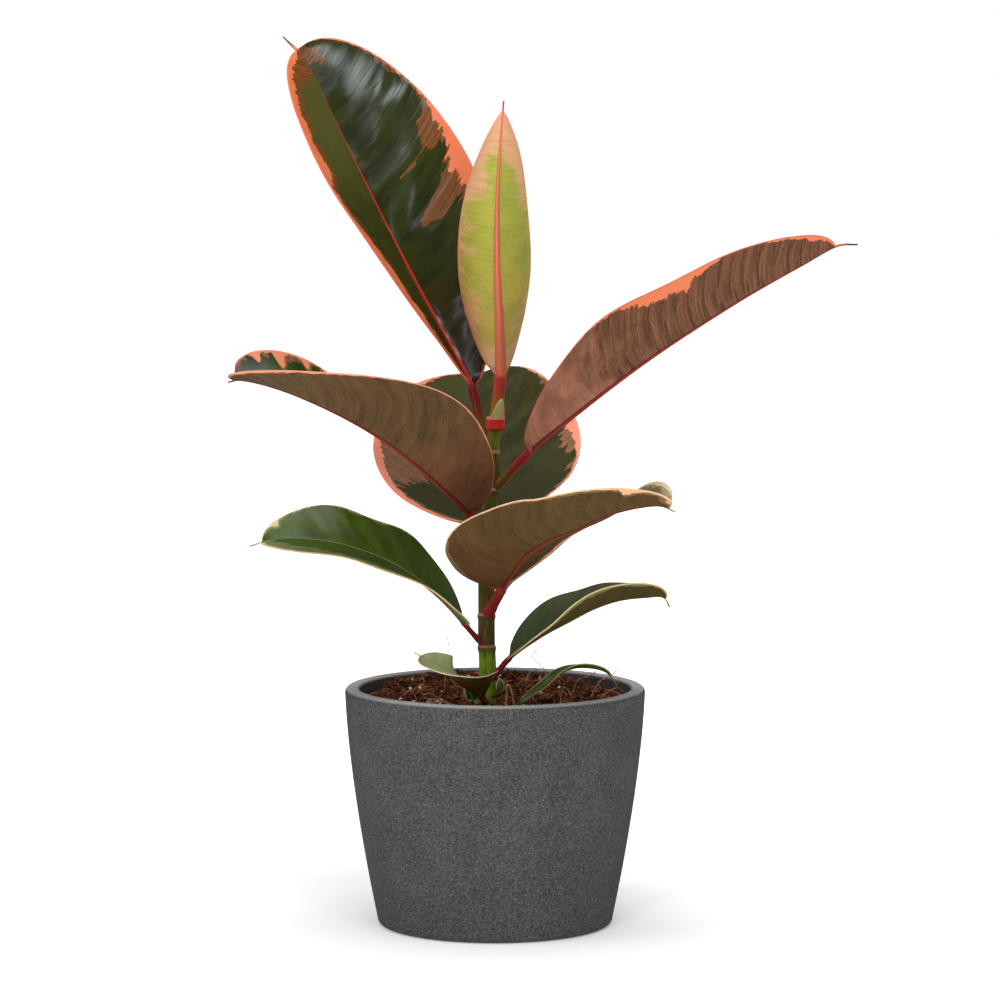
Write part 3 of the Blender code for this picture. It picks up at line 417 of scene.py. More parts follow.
# What holds unless a leaf says otherwise. On the upper face: the strength of the side veins (lines), the
# rib's half width and the roughness (gloss). On the lower face: the strength of the vein lines and of the
# painted shade between the veins, as of light across their ridges (bands), of the fine lines (comb), of the
# half tone and the red streaks in it, and of the keel's pale line, and the roughness. On both: how soft the
# half tone's edge is, the heights of the broad swells and of the narrow ones (quilt), the distance between
# side veins and their slant, and the solid rib's width.
COMMON_LOOK = dict(
    slot="leaf_green", pale=CREAM, lines=0.06, upper_rib=0.9, gloss=0.34, bands=0.5, comb=0.16,
    half_shown=0.5, streaks=0.0, keel=0.45, rough_under=0.7, half_soft=0.2, swell=6.0, quilt=0.5,
    pitch=VEIN_PITCH, slant=VEIN_SLANT, rib_width=RIB_WIDTH,
)
BRONZE_LOOK = dict(COMMON_LOOK, slot="leaf_bronze")
LOOKS = {
    "leaf_top_left": dict(
        COMMON_LOOK, upper=((52, 58, 18), (36, 42, 10)), under=((106, 74, 48), (90, 62, 40)),
        # The second colour below is a painted sheen for the left half of the upper face.
        upper_base=(42, 18, 3), left_sheen=(92, 90, 44), pale=SALMON, pale_under=PEACH, half=(108, 68, 32),
        rib=(190, 50, 38), rib_under=(176, 52, 46), vein_under=(146, 88, 70), edge=(226, 104, 76),
        stalk=(110, 26, 20), stalk_low=(96, 70, 22), tip=(96, 84, 30), gloss=0.16, upper_rib=1.5, quilt=0.7,
        swell=4.0,
        margin=([2, 5, 9, 12, 10, 3, 10, 8, 7, 7, 5], [1, 1, 1.5, 2, 6, 8, 5, 1.5, 0.8, 0.6, 1]),
        tone=([0, 1, 2, 3, 4, 5, 4, 3, 4, 5, 5], [0, 0, 0, 1, 1, 0, 0, 0, 1, 0, 1]),
        margin_jag=9, tone_jag=16,
        tone_patches=[
            (0.4, 0.55, 0.026, 0.4, 36), (0.54, 0.78, 0.05, 0.25, 12), (0.525, 0.4, 0.008, 0.25, 30),
            (0.92, 0.15, 0.06, 0.3, 22), (0.86, -0.5, 0.05, 0.4, 10),
        ],
    ),
    "leaf_new": dict(
        COMMON_LOOK, slot="leaf_lime", upper=((150, 156, 50), (130, 140, 44)),
        under=((176, 178, 58), (150, 164, 44)), under_base=(222, 170, 84), pale=(216, 138, 96),
        pale_under=(232, 164, 128), half=(232, 176, 136), rib=(196, 78, 56), rib_under=(232, 106, 86),
        vein_under=(206, 178, 110), edge=(206, 96, 70), stalk=(184, 60, 48), stalk_low=(160, 92, 6),
        tip=(150, 62, 40), gloss=0.36, pitch=2.6, slant=0.1, rib_width=1.15, bands=0.6, half_shown=0.85,
        half_soft=6, streaks=0.5, keel=0.2,
        margin=([3, 1, 0, 0.5, 3, 10], [3, 1, 1, 1, 5, 10]), margin_jag=5,
        tone=([9, 5, 0, 2, 8, 22], [12, 9, 7, 8, 14, 24]), tone_jag=24,
    ),
    "leaf_right": dict(
        BRONZE_LOOK, upper=((50, 60, 22), (36, 46, 16)), under=((80, 54, 28), (66, 46, 24)),
        under_base=(224, 150, 122), pale=SALMON, pale_under=(228, 124, 84), half=(132, 84, 54),
        rib=(172, 50, 44), rib_under=(150, 34, 38), vein_under=(166, 106, 80), edge=(206, 104, 78),
        stalk=(156, 40, 38), stalk_low=(118, 84, 30), tip=(90, 40, 26), gloss=0.26, comb=0.4,
        margin=([1, 1, 1, 3, 1], [0.3, 0.3, 0.3, 0.2, 1, 6, 6, 0.3, 0.3, 2, 2.5]), margin_jag=10,
        tone=([0, 1, 2, 2, 0], [0, 0, 0, 0, 0, 0.5, 0.5, 0, 0, 1, 1]), tone_jag=6,
    ),
    "leaf_back": dict(
        COMMON_LOOK, upper=((68, 67, 33), (50, 50, 24)), under=((108, 78, 54), (92, 66, 42)),
        pale=(248, 150, 122), pale_under=PEACH, half=(126, 94, 66), rib=(146, 50, 42),
        rib_under=(170, 52, 46), vein_under=(146, 88, 70), edge=(240, 148, 124), stalk=(136, 34, 30),
        tip=(110, 60, 40), gloss=0.22, lines=0.14, quilt=1.2,
        margin=([5, 4, 4, 4.5, 4, 3, 1.5, 1], [1, 1, 1.8, 5, 3, 1.2, 0.6, 1]), margin_jag=6,
        tone=([1, 2, 3, 2, 2, 1, 0, 0], [0, 1, 3, 5, 2, 0.5, 0, 0]), tone_jag=14,
        tone_patches=[(0.2, -0.67, 0.06, 0.25, 24)],
    ),
    "leaf_left": dict(
        BRONZE_LOOK, upper=((50, 64, 20), (36, 48, 12)), under=((88, 68, 34), (72, 54, 28)),
        under_base=(140, 82, 58), pale=(232, 140, 104), pale_under=(228, 148, 112), half=(126, 82, 54),
        rib=(172, 48, 42), rib_under=(130, 24, 28), vein_under=(132, 92, 64), edge=(232, 152, 118),
        stalk=(166, 28, 32), tip=(110, 50, 36), gloss=0.24, bands=0.35, comb=0.25,
        margin=([0.4, 0.4, 0.4, 0.5, 1.5, 2.5], [1, 1, 1, 1, 1.2, 1.5, 1.5]), margin_jag=6,
        tone=([0, 0, 0, 0, 1, 2], [0, 1, 1, 1, 1, 2]), tone_jag=14,
        margin_patches=[(0.8, 0.8, 0.012, 0.3, 12), (0.88, 0.8, 0.01, 0.3, 10), (0.7, 0.9, 0.01, 0.2, 9)],
    ),
    "leaf_front": dict(
        BRONZE_LOOK, upper=((94, 98, 70), (74, 80, 52)), under=((86, 66, 30), (72, 54, 24)),
        under_base=(108, 66, 42), pale=(206, 190, 150), pale_under=(232, 172, 130), half=(150, 120, 84),
        rib=(172, 48, 42), rib_under=(126, 32, 28), vein_under=(122, 88, 54), edge=(238, 190, 150),
        stalk=(166, 44, 38), tip=(150, 140, 70), gloss=0.32, bands=0.3, comb=0.15, rough_under=0.8,
        margin=([8, 8, 7, 4, 2, 3], [0.7, 0.4, 0.4, 0.5, 0.9, 1.4]), margin_jag=5,
        tone=([2, 1, 0, 1, 2, 3], [3, 2, 0, 1, 2, 2]), tone_jag=8,
        margin_patches=[(0.8, 0.75, 0.03, 0.25, 5), (0.93, 0.5, 0.02, 0.4, 4)],
    ),
    "leaf_lower_left": dict(
        COMMON_LOOK, upper=((74, 98, 18), (54, 76, 14)), under=((112, 118, 66), (96, 104, 56)),
        pale_under=(222, 200, 146), half=(120, 130, 78), rib=(150, 158, 96), rib_under=(146, 96, 64),
        vein_under=(134, 140, 90), edge=(216, 186, 136), stalk=(144, 46, 38), tip=(150, 140, 80), gloss=0.3,
        lines=0.08,
        margin=([1, 1.2, 1.4, 1.4, 1.2, 1.2, 1.2, 1.5], [0.4, 0.4, 0.4, 0.6, 0.8, 0.4, 0.6, 2.2]),
        tone=([0, 0.5, 1, 3, 6, 8, 9, 7], [0.3, 0.3, 0.3, 0.6, 1, 0.4, 1, 3]), margin_jag=6, tone_jag=6,
        margin_patches=[(0.86, 0.5, 0.02, 0.5, 5), (0.91, -0.5, 0.02, 0.5, 3)],
    ),
    "leaf_lower_right": dict(
        COMMON_LOOK, upper=((84, 96, 66), (62, 76, 44)), under=((74, 60, 14), (58, 50, 12)),
        pale_under=(150, 134, 82), half=(134, 140, 88), rib=(150, 154, 92), rib_under=(156, 128, 76),
        vein_under=(84, 70, 26), edge=(226, 200, 150), stalk=(164, 52, 46), tip=(84, 92, 40), lines=0.25,
        rough_under=0.8,
        margin=([0.6, 0.4, 0.4, 0.6, 1.5], [1, 1, 1.2, 1, 1]), margin_jag=2.5,
        tone=([0, 0, 0, 0, 1], [1, 1, 2, 1, 0]), tone_jag=5,
    ),
    "leaf_low_front": dict(
        COMMON_LOOK, upper=((196, 200, 152), (172, 180, 126)), under=((120, 112, 30), (94, 88, 20)),
        pale_under=(220, 196, 138), half=(140, 148, 94), rib=(160, 142, 90), rib_under=(156, 72, 44),
        vein_under=(128, 120, 54), edge=(226, 208, 158), stalk=(150, 96, 60), tip=(190, 180, 120), gloss=0.36,
        margin=([0.8, 0.7, 0.6, 1, 1], [0.8, 0.7, 0.6, 1, 1]), margin_jag=1.5,
        tone=([1, 1, 0, 1, 1], [1, 1, 0, 0, 1]), tone_jag=3,
    ),
    "leaf_low_right": dict(
        COMMON_LOOK, upper=((104, 116, 66), (84, 96, 50)), under=((100, 102, 44), (80, 84, 34)),
        pale_under=(214, 206, 150), half=(118, 128, 74), rib=(140, 138, 78), rib_under=(128, 112, 62),
        vein_under=(118, 116, 62), edge=(190, 188, 130), stalk=(108, 104, 40), tip=(150, 130, 80),
        margin=([0.4], [0.4]), margin_jag=0.8, tone=([0.3], [0.3]), tone_jag=1,
    ),
    "leaf_bud_left": dict(
        COMMON_LOOK, upper=((66, 86, 44), (48, 66, 30)), under=((98, 102, 52), (80, 86, 42)),
        pale_under=CREAM, half=(110, 124, 72), rib=(120, 128, 68), rib_under=(120, 108, 60),
        vein_under=(110, 114, 60), edge=(220, 206, 150), stalk=(112, 98, 44), tip=(150, 140, 90),
        margin=([0.7], [0.3]), margin_jag=0.6, tone=([0.3], [0.2]), tone_jag=0.8,
    ),
    "leaf_bud_right": dict(
        COMMON_LOOK, upper=((116, 130, 74), (92, 108, 56)), under=((108, 112, 60), (88, 94, 48)),
        pale_under=CREAM, half=(140, 146, 84), rib=(140, 142, 84), rib_under=(130, 118, 70),
        vein_under=(120, 124, 68), edge=(214, 206, 154), stalk=(120, 108, 52), tip=(140, 140, 80),
        margin=([0.4], [0.4]), margin_jag=0.5, tone=([0.3], [0.3]), tone_jag=0.6,
    ),
}


# Smooth lines and values

def unit(vectors):
    return vectors / np.linalg.norm(vectors, axis=-1, keepdims=True)


def smooth_line(points, steps=CURVE_STEPS):
    """A centripetal spline through the points, and the sample that each point falls on."""
    points = np.array(points, float)
    points = np.vstack([2 * points[0] - points[1], points, 2 * points[-1] - points[-2]])
    knots = np.concatenate([[0], np.cumsum(np.linalg.norm(np.diff(points[:, :3], axis=0), axis=1) ** 0.5)])
    pieces = []
    for i in range(1, len(points) - 2):
        (p0, p1, p2, p3), (k0, k1, k2, k3) = points[i - 1 : i + 3], knots[i - 1 : i + 3]
        k = np.linspace(k1, k2, steps, endpoint=False)[:, None]
        a = (k1 - k) / (k1 - k0) * p0 + (k - k0) / (k1 - k0) * p1
        b = (k2 - k) / (k2 - k1) * p1 + (k - k1) / (k2 - k1) * p2
        c = (k3 - k) / (k3 - k2) * p2 + (k - k2) / (k3 - k2) * p3
        a = (k2 - k) / (k2 - k0) * a + (k - k0) / (k2 - k0) * b
        c = (k3 - k) / (k3 - k1) * b + (k - k1) / (k3 - k1) * c
        pieces.append((k2 - k) / (k2 - k1) * a + (k - k1) / (k2 - k1) * c)
    return np.vstack([*pieces, points[-2][None]]), np.arange(len(points) - 2) * steps


def ease(values, at):
    """Evenly spaced values read smoothly at positions from 0 to 1."""
    at = np.asarray(at, float)
    if len(values) == 1:
        return np.full_like(at, values[0])
    padded = np.concatenate([[2 * values[0] - values[1]], values, [2 * values[-1] - values[-2]]])
    place = np.clip(at, 0, 1) * (len(values) - 1)
    i = np.minimum(place.astype(int), len(values) - 2)
    f = place - i
    a, b, c, d = (padded[i + k] for k in range(4))
    return b + 0.5 * f * (c - a + f * (2 * a - 5 * b + 4 * c - d + f * (3 * (b - c) + d - a)))


def smooth_step(x):
    x = np.clip(x, 0, 1)
    return x * x * (3 - 2 * x)


def arc(middle, radius, start, end, points):
    angles = np.radians(np.linspace(start, end, points))
    return [(middle[0] + radius * math.cos(a), middle[1] + radius * math.sin(a)) for a in angles]


# Shader nodes

def linear(colour):
    """An sRGB colour from 0 to 255 as the linear RGBA that a shader takes."""
    parts = [c / 255 for c in colour]
    return (*(c / 12.92 if c <= 0.04045 else ((c + 0.055) / 1.055) ** 2.4 for c in parts), 1)


class Shader:
    """One material and short ways to add its nodes."""

    def __init__(self, name, roughness=0.5, specular=0.3):
        self.material = bpy.data.materials.new(name)
        self.material.use_nodes = True
        self.tree = self.material.node_tree
        self.surface = self.tree.nodes["Principled BSDF"]
        self.surface.inputs["Roughness"].default_value = roughness
        self.surface.inputs["Specular IOR Level"].default_value = specular

    def put(self, socket, source):
        if isinstance(source, bpy.types.NodeSocket):
            self.tree.links.new(source, socket)
        else:
            socket.default_value = source

    def add(self, kind, sources=(), **settings):
        made = self.tree.nodes.new(kind)
        for key, value in settings.items():
            setattr(made, key, value)
        for socket, source in zip(made.inputs, sources):
            self.put(socket, source)
        return made

    def math(self, operation, *sources):
        return self.add("ShaderNodeMath", sources, operation=operation).outputs[0]

    def times(self, first, *others):
        for other in others:
            first = self.math("MULTIPLY", first, other)
        return first

    def attribute(self, name):
        return self.add("ShaderNodeAttribute", attribute_name=name).outputs["Fac"]

    def combine(self, x, y, z):
        return self.add("ShaderNodeCombineXYZ", (x, y, z)).outputs[0]

    def place(self):
        """The point on the object in millimetres."""
        spot = self.add("ShaderNodeTexCoord").outputs["Object"]
        return self.add("ShaderNodeVectorMath", (spot, [1 / MM] * 3), operation="MULTIPLY").outputs[0]

    def height(self):
        """Millimetres above the floor."""
        return self.add("ShaderNodeSeparateXYZ", (self.place(),)).outputs[2]

    def noise(self, vector, scale=1.0, detail=3.0, rough=0.5):
        made = self.add("ShaderNodeTexNoise")
        for name, value in (("Vector", vector), ("Scale", scale), ("Detail", detail), ("Roughness", rough)):
            self.put(made.inputs[name], value)
        return made.outputs["Fac"]

    def dots(self, vector, scale, edge, chosen):
        """Scattered dots with a soft edge, where only those with a random value past chosen show."""
        made = self.add("ShaderNodeTexVoronoi")
        self.put(made.inputs["Vector"], vector)
        self.put(made.inputs["Scale"], scale)
        shade = self.add("ShaderNodeSeparateColor", (made.outputs["Color"],))
        return self.times(self.ramp(made.outputs["Distance"], *edge), self.ramp(shade.outputs[0], *chosen))

    def ramp(self, value, low, high, start=0.0, end=1.0):
        """Smoothly from start at low to end at high."""
        return self.add("ShaderNodeMapRange", (value, low, high, start, end),
                        interpolation_type="SMOOTHSTEP").outputs[0]

    def spread(self, noise):
        """A noise stretched to run from -0.5 to 0.5."""
        return self.ramp(noise, 0.3, 0.7, -0.5, 0.5)

    def mix(self, share, first, second):
        made = self.add("ShaderNodeMix", data_type="RGBA")
        colours = [c if isinstance(c, bpy.types.NodeSocket) else linear(c) for c in (first, second)]
        for socket, source in zip((made.inputs[0], made.inputs[6], made.inputs[7]), (share, *colours)):
            self.put(socket, source)
        return made.outputs[2]

    def tint(self, first, second, value, low, high, most=1.0):
        """The first colour, which turns to the second by up to most while the value goes from low to high."""
        return self.mix(self.ramp(value, low, high, 0.0, most), first, second)

    def finish(self, colour, roughness=None, height=None, depth=0.1):
        """Puts the colour, the roughness and a bump of up to depth millimetres on the surface."""
        self.put(self.surface.inputs["Base Color"], colour)
        if roughness is not None:
            self.put(self.surface.inputs["Roughness"], roughness)
        if height is not None:
            bump = self.add("ShaderNodeBump")
            bump.inputs["Distance"].default_value = depth * MM
            self.put(bump.inputs["Height"], height)
            self.put(self.surface.inputs["Normal"], bump.outputs[0])
        return self.material


# Meshes

def add_piece(name, corners, faces, look, replaced=()):
    """A mesh object of corners in millimetres that rides on the plant's body."""
    mesh = bpy.data.meshes.new(name)
    mesh.from_pydata((np.asarray(corners) * MM).tolist(), [], faces)
    mesh.polygons.foreach_set("use_smooth", [True] * len(mesh.polygons))
    mesh.materials.append(look)
    mesh.update()
    piece = bpy.data.objects.new(name, mesh)
    bpy.context.scene.collection.objects.link(piece)
    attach(piece, BODY)
    if replaced:
        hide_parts(*replaced)
    return piece


def add_attribute(piece, name, values):
    made = piece.data.attributes.new(name, "FLOAT", "POINT")
    made.data.foreach_set("value", np.asarray(values, np.float32))


def ring_faces(near, far, points):
    """Quads between two rings of points, given by the first corner of each."""
    return [(near + k, near + (k + 1) % points, far + (k + 1) % points, far + k) for k in range(points)]


def loft_faces(rings, points):
    """Quads between rings of equal count, and the two end caps."""
    faces = []
    for i in range(rings - 1):
        faces += ring_faces(i * points, (i + 1) * points, points)
    faces.append(tuple(range(points))[::-1])
    faces.append(tuple(range((rings - 1) * points, rings * points)))
    return faces


def turned(profile, steps):
    """Corners and faces of a profile of (radius, height) turned about Z. It runs down the outer side."""
    angles = np.arange(steps) * 2 * math.pi / steps
    corners, rows = [], []
    for radius, height in profile:
        if radius == 0:
            rows.append([len(corners)] * steps)
            corners.append((0, 0, height))
            continue
        rows.append(list(range(len(corners), len(corners) + steps)))
        corners += [(radius * math.cos(a), radius * math.sin(a), height) for a in angles]
    faces = []
    for upper, lower in zip(rows, rows[1:]):
        for k in range(steps):
            n = (k + 1) % steps
            face = (upper[k], lower[k], lower[n], upper[n])
            faces.append(tuple(dict.fromkeys(face)))
    return corners, faces


# Leaf form

class LeafForm:
    """The middle line of a leaf with its upward and sideways directions, and the sections across it."""

    def __init__(self, leaf):
        self.leaf, self.look = leaf, LOOKS[leaf["name"]]
        self.points, marks = smooth_line(leaf["line"])
        steps = np.linalg.norm(np.diff(self.points, axis=0), axis=1)
        self.along = np.concatenate([[0], np.cumsum(steps)])
        self.blade_start = self.along[marks[leaf["base"]]]
        self.blade_length = self.along[-1] - self.blade_start
        self.tangent = unit(np.gradient(self.points, axis=0))
        self.up = self.carried_normals(marks[leaf["base"]])
        self.turn_up()

    def carried_normals(self, start):
        """The upper face's direction, carried without twist from the blade's base to both ends."""
        normals = np.zeros_like(self.points)
        face = np.array(self.leaf["face"], float)
        for order in (range(start, len(self.points)), range(start, -1, -1)):
            carried = face
            for i in order:
                carried = unit(carried - carried @ self.tangent[i] * self.tangent[i])
                normals[i] = carried
        return normals

    def turn_up(self):
        share = (self.along - self.blade_start) / self.blade_length
        angle = np.radians(ease(self.leaf["turn"], share))[:, None]
        side = np.cross(self.tangent, self.up)
        self.up = self.up * np.cos(angle) + side * np.sin(angle)

    def place(self, distance):
        """Point, tangent, up and side at a distance along the middle line."""
        def read(rows):
            return np.array([np.interp(distance, self.along, rows[:, k]) for k in range(3)])

        point, tangent = read(self.points), unit(read(self.tangent))
        up = read(self.up)
        up = unit(up - up @ tangent * tangent)
        return point, tangent, up, np.cross(tangent, up)

    def width_share(self, t):
        """Half width at t as a share of the widest: a rounded blade that ends in a fine drip tip."""
        leaf = self.leaf
        u = min(t * self.blade_length / (self.blade_length - leaf["tip"]), 1)
        power = math.log(0.5) / math.log(leaf["widest"])
        rounding = leaf["blunt"][0] + (leaf["blunt"][1] - leaf["blunt"][0]) * u
        blade = max(math.sin(math.pi * u**power), 0) ** rounding
        needle = NEEDLE_WIDTH * (1 - t) ** NEEDLE_TAPER * min(max((t - NEEDLE_START) / NEEDLE_RISE, 0), 1)
        return math.hypot(blade, needle)

    def rib(self, t):
        """How far the rib stands out under the blade, its half width, and its keel's depth below the line."""
        stalk = self.leaf["stalk"]
        depth = max(RIB_DEPTH * stalk * (1 - t) ** RIB_TAPER, RIB_LEAST)
        keel = stalk * (1 - t) ** RIB_SINK + BLADE_THICKNESS / 2
        wide = stalk * self.look["rib_width"]
        return depth, max(wide * (1 - t) ** RIB_NARROW, TIP_HALF_WIDTH / 2), keel

    def reach(self, half, t):
        return max(float(ease(half["reach"], t)) * self.width_share(t), TIP_HALF_WIDTH)

    def half_section(self, half, sign, t, share):
        """(sideways, up, slope) across one half at shares of its reach."""
        reach = self.reach(half, t)
        fold = math.radians(float(ease(half["fold"], t)))
        curl = math.radians(float(ease(half["curl"], t)))
        slope = fold + curl * share
        sideways = reach / curl * (np.sin(slope) - math.sin(fold))
        up = -reach / curl * (np.cos(slope) - math.cos(fold))
        height, count, phase = self.leaf["wave"]
        ripple = math.sin(2 * math.pi * count * t + phase + (RIPPLE_SHIFT if sign < 0 else 0))
        up = up + height * share**2 * ripple * math.sin(math.pi * t)
        return sign * sideways, up, sign * slope

    def blade_row(self, t):
        """Sideways, up, slope, share and reach of the points across the blade at t, from left to right."""
        _, rib_half, _ = self.rib(t)
        rows = []
        for sign, half in ((-1, self.leaf["left"]), (1, self.leaf["right"])):
            reach = self.reach(half, t)
            rib_share = min(rib_half / reach, RIB_MOST_SHARE)
            outer = np.sin(np.arange(1, OUTER_COLUMNS + 1) * math.pi / 2 / OUTER_COLUMNS)
            share = np.concatenate([np.array(RIB_COLUMNS) * rib_share, rib_share + (1 - rib_share) * outer])
            x, z, slope = self.half_section(half, sign, t, share)
            rows.append(np.stack([x, z, slope, sign * share, np.full_like(share, reach)], 1))
        middle = np.array([[0, 0, 0, 0, rows[0][0, 4]]])
        return np.concatenate([rows[0][::-1], middle, rows[1]])

    def blade_ring(self, t, distance):
        """Points (sideways, up) round the blade at t, over the top from left to right and back beneath."""
        depth, rib_half, keel = self.rib(t)
        x, z, slope, share, reach = self.blade_row(t).T
        lateral = np.abs(share) * reach
        edge = np.clip(1 - (reach - lateral) / EDGE_ROUND, 0, 1)
        skin = BLADE_THICKNESS / 2 * np.sqrt(1 - EDGE_THINNING * edge**2)
        relief = min(self.blade_length / FULL_RELIEF_LENGTH, 1)
        crest = CORRUGATION * relief * math.sin(math.pi * min(max(t, 0), 1))
        wave = np.sin(2 * math.pi * self.vein(distance, lateral, reach) / VEIN_PITCH)
        wave = wave * crest * np.sin(math.pi * np.abs(share))
        groove = GROOVE_DEPTH * relief * np.exp(-((lateral / GROOVE_WIDTH) ** 2)) * (1 - t)
        rib = RIB_SHOWN * depth * np.cos(math.pi / 2 * np.clip(lateral / rib_half, 0, 1)) ** RIB_ROUNDING
        raised = depth + BLADE_THICKNESS / 2 - keel
        top = np.stack([x - skin * np.sin(slope), z + skin * np.cos(slope) + wave - groove + raised], 1)
        under = np.stack([x + skin * np.sin(slope), z - skin * np.cos(slope) + wave - rib + raised], 1)
        return np.concatenate([top, under[::-1]])

    def vein(self, distance, lateral, reach):
        """Where the vein through a point leaves the rib: veins run outward and bend towards the tip."""
        slant = self.look["slant"]
        return distance - slant * lateral - VEIN_BEND * slant / VEIN_SLANT * lateral**2 / np.maximum(reach, 1)

    def stalk_ring(self, radius, count):
        angles = math.pi - (np.arange(count) + 0.5) * 2 * math.pi / count
        hollow = 1 - STALK_GROOVE * np.exp(-(((angles - math.pi / 2) / STALK_GROOVE_SPREAD) ** 2))
        return (radius * hollow * np.stack([np.cos(angles), np.sin(angles)])).T

    def lay(self, flat, distance):
        point, _, up, side = self.place(distance)
        return point + flat[:, :1] * side + flat[:, 1:] * up

    def root_distance(self):
        """Where the stalk leaves the stem, on a leaf that grows from it."""
        if self.leaf["name"] in LEAVES_WITHOUT_STUB:
            return 0.0
        for distance in np.arange(STUB_START, self.blade_start, STUB_STEP):
            ring = self.lay(self.stalk_ring(self.leaf["stalk"], STUB_SIDES), distance)
            middle, radius = stem_at(ring[:, 2])
            if (np.hypot(ring[:, 0] - middle, ring[:, 1]) - radius).min() > STUB_CLEAR:
                return distance
        return self.blade_start

    def sections(self):
        stalk = np.linspace(0, self.blade_start, STALK_SECTIONS, endpoint=False)
        count = BLADE_SECTIONS if self.blade_length > SMALL_BLADE_LENGTH else SMALL_BLADE_SECTIONS
        even = np.linspace(0, 1, count)
        spread = SECTION_EVENNESS * even + (1 - SECTION_EVENNESS) * (1 - np.cos(math.pi * even)) / 2
        tip = self.leaf["tip"]
        blade = self.blade_start + spread * (self.blade_length - tip)
        end = np.linspace(self.along[-1] - tip, self.along[-1], TIP_SECTIONS + 1)[1:]
        return [*stalk, *blade, *end]


def stem_at(height):
    """The stem's middle x and radius at a height."""
    rows = np.array(STEM_AXIS)
    return np.interp(height, rows[:, 2], rows[:, 0]), np.interp(height, rows[:, 2], rows[:, 3])


def band_width(look, kind, t, vein_share, share):
    """Width of the pale margin or of the half tone inside it, at each share across the blade."""
    left, right = (float(ease(widths, t)) for widths in look[kind])
    width = np.where(share < 0, left, right)
    for at, across, spread, spread_across, extra in look.get(f"{kind}_patches", ()):
        away = ((vein_share - at) / spread) ** 2 + ((share - across) / spread_across) ** 2
        width = width + extra * np.exp(-away)
    return np.maximum(width, 0)


def raggedness(width, most):
    """How far an edge wanders: more on a wide band than on a thin one."""
    return most * width / (width + RAGGED_HALF_WIDTH)


def skin_values(form, distance, t, row):
    """What the skin has to know at the points across the blade. Lengths are in millimetres."""
    look, share, reach = form.look, row[:, 3], row[:, 4]
    lateral = np.abs(share) * reach
    vein = form.vein(distance, lateral, reach)
    vein_share = (vein - form.blade_start) / form.blade_length
    margin = band_width(look, "margin", t, vein_share, share)
    tone = band_width(look, "tone", t, vein_share, share)
    everywhere = np.ones_like(share)
    return dict(
        along=t * everywhere,
        lateral=lateral,
        vein=vein,
        edge=reach - lateral,
        inner=reach - lateral - margin,
        half=reach - lateral - margin - tone,
        ragged=raggedness(margin, look["margin_jag"]),
        ragged_half=raggedness(margin + tone, look["tone_jag"]),
        side=np.sign(share),
        rib=lateral / form.rib(min(max(t, 0), 1))[1],
        stalk=(1 - smooth_step(t / STALK_COLOUR_END)) * everywhere,
    )


def make_leaf(leaf):
    form, name = LeafForm(leaf), leaf["name"]
    points = 2 * (2 * (OUTER_COLUMNS + len(RIB_COLUMNS)) + 1)
    root = form.root_distance()
    corners, skin = [], {}
    for distance in form.sections():
        t = (distance - form.blade_start) / form.blade_length
        flare = 1 + STALK_FLARE * math.exp(-((max(distance - root, 0) / STALK_FLARE_LENGTH) ** 2))
        flat = form.stalk_ring(leaf["stalk"] * flare, points)
        if t > 0:
            mix = smooth_step(t / STALK_BLEND)
            flat = (1 - mix) * flat + mix * form.blade_ring(t, distance)
        corners.append(form.lay(flat, distance))
        for key, values in skin_values(form, distance, t, form.blade_row(max(t, LEAST_T))).items():
            skin.setdefault(key, []).extend((values, values[::-1]))
    faces = loft_faces(len(corners), points)
    piece = add_piece(name.replace("leaf", "blade"), np.concatenate(corners), faces,
                      LeafSkin(name, form.look).made(), [name])
    for key, values in skin.items():
        add_attribute(piece, key, np.concatenate(values))
    add_attribute(piece, "under", np.tile(np.repeat([0.0, 1.0], points // 2), len(corners)))


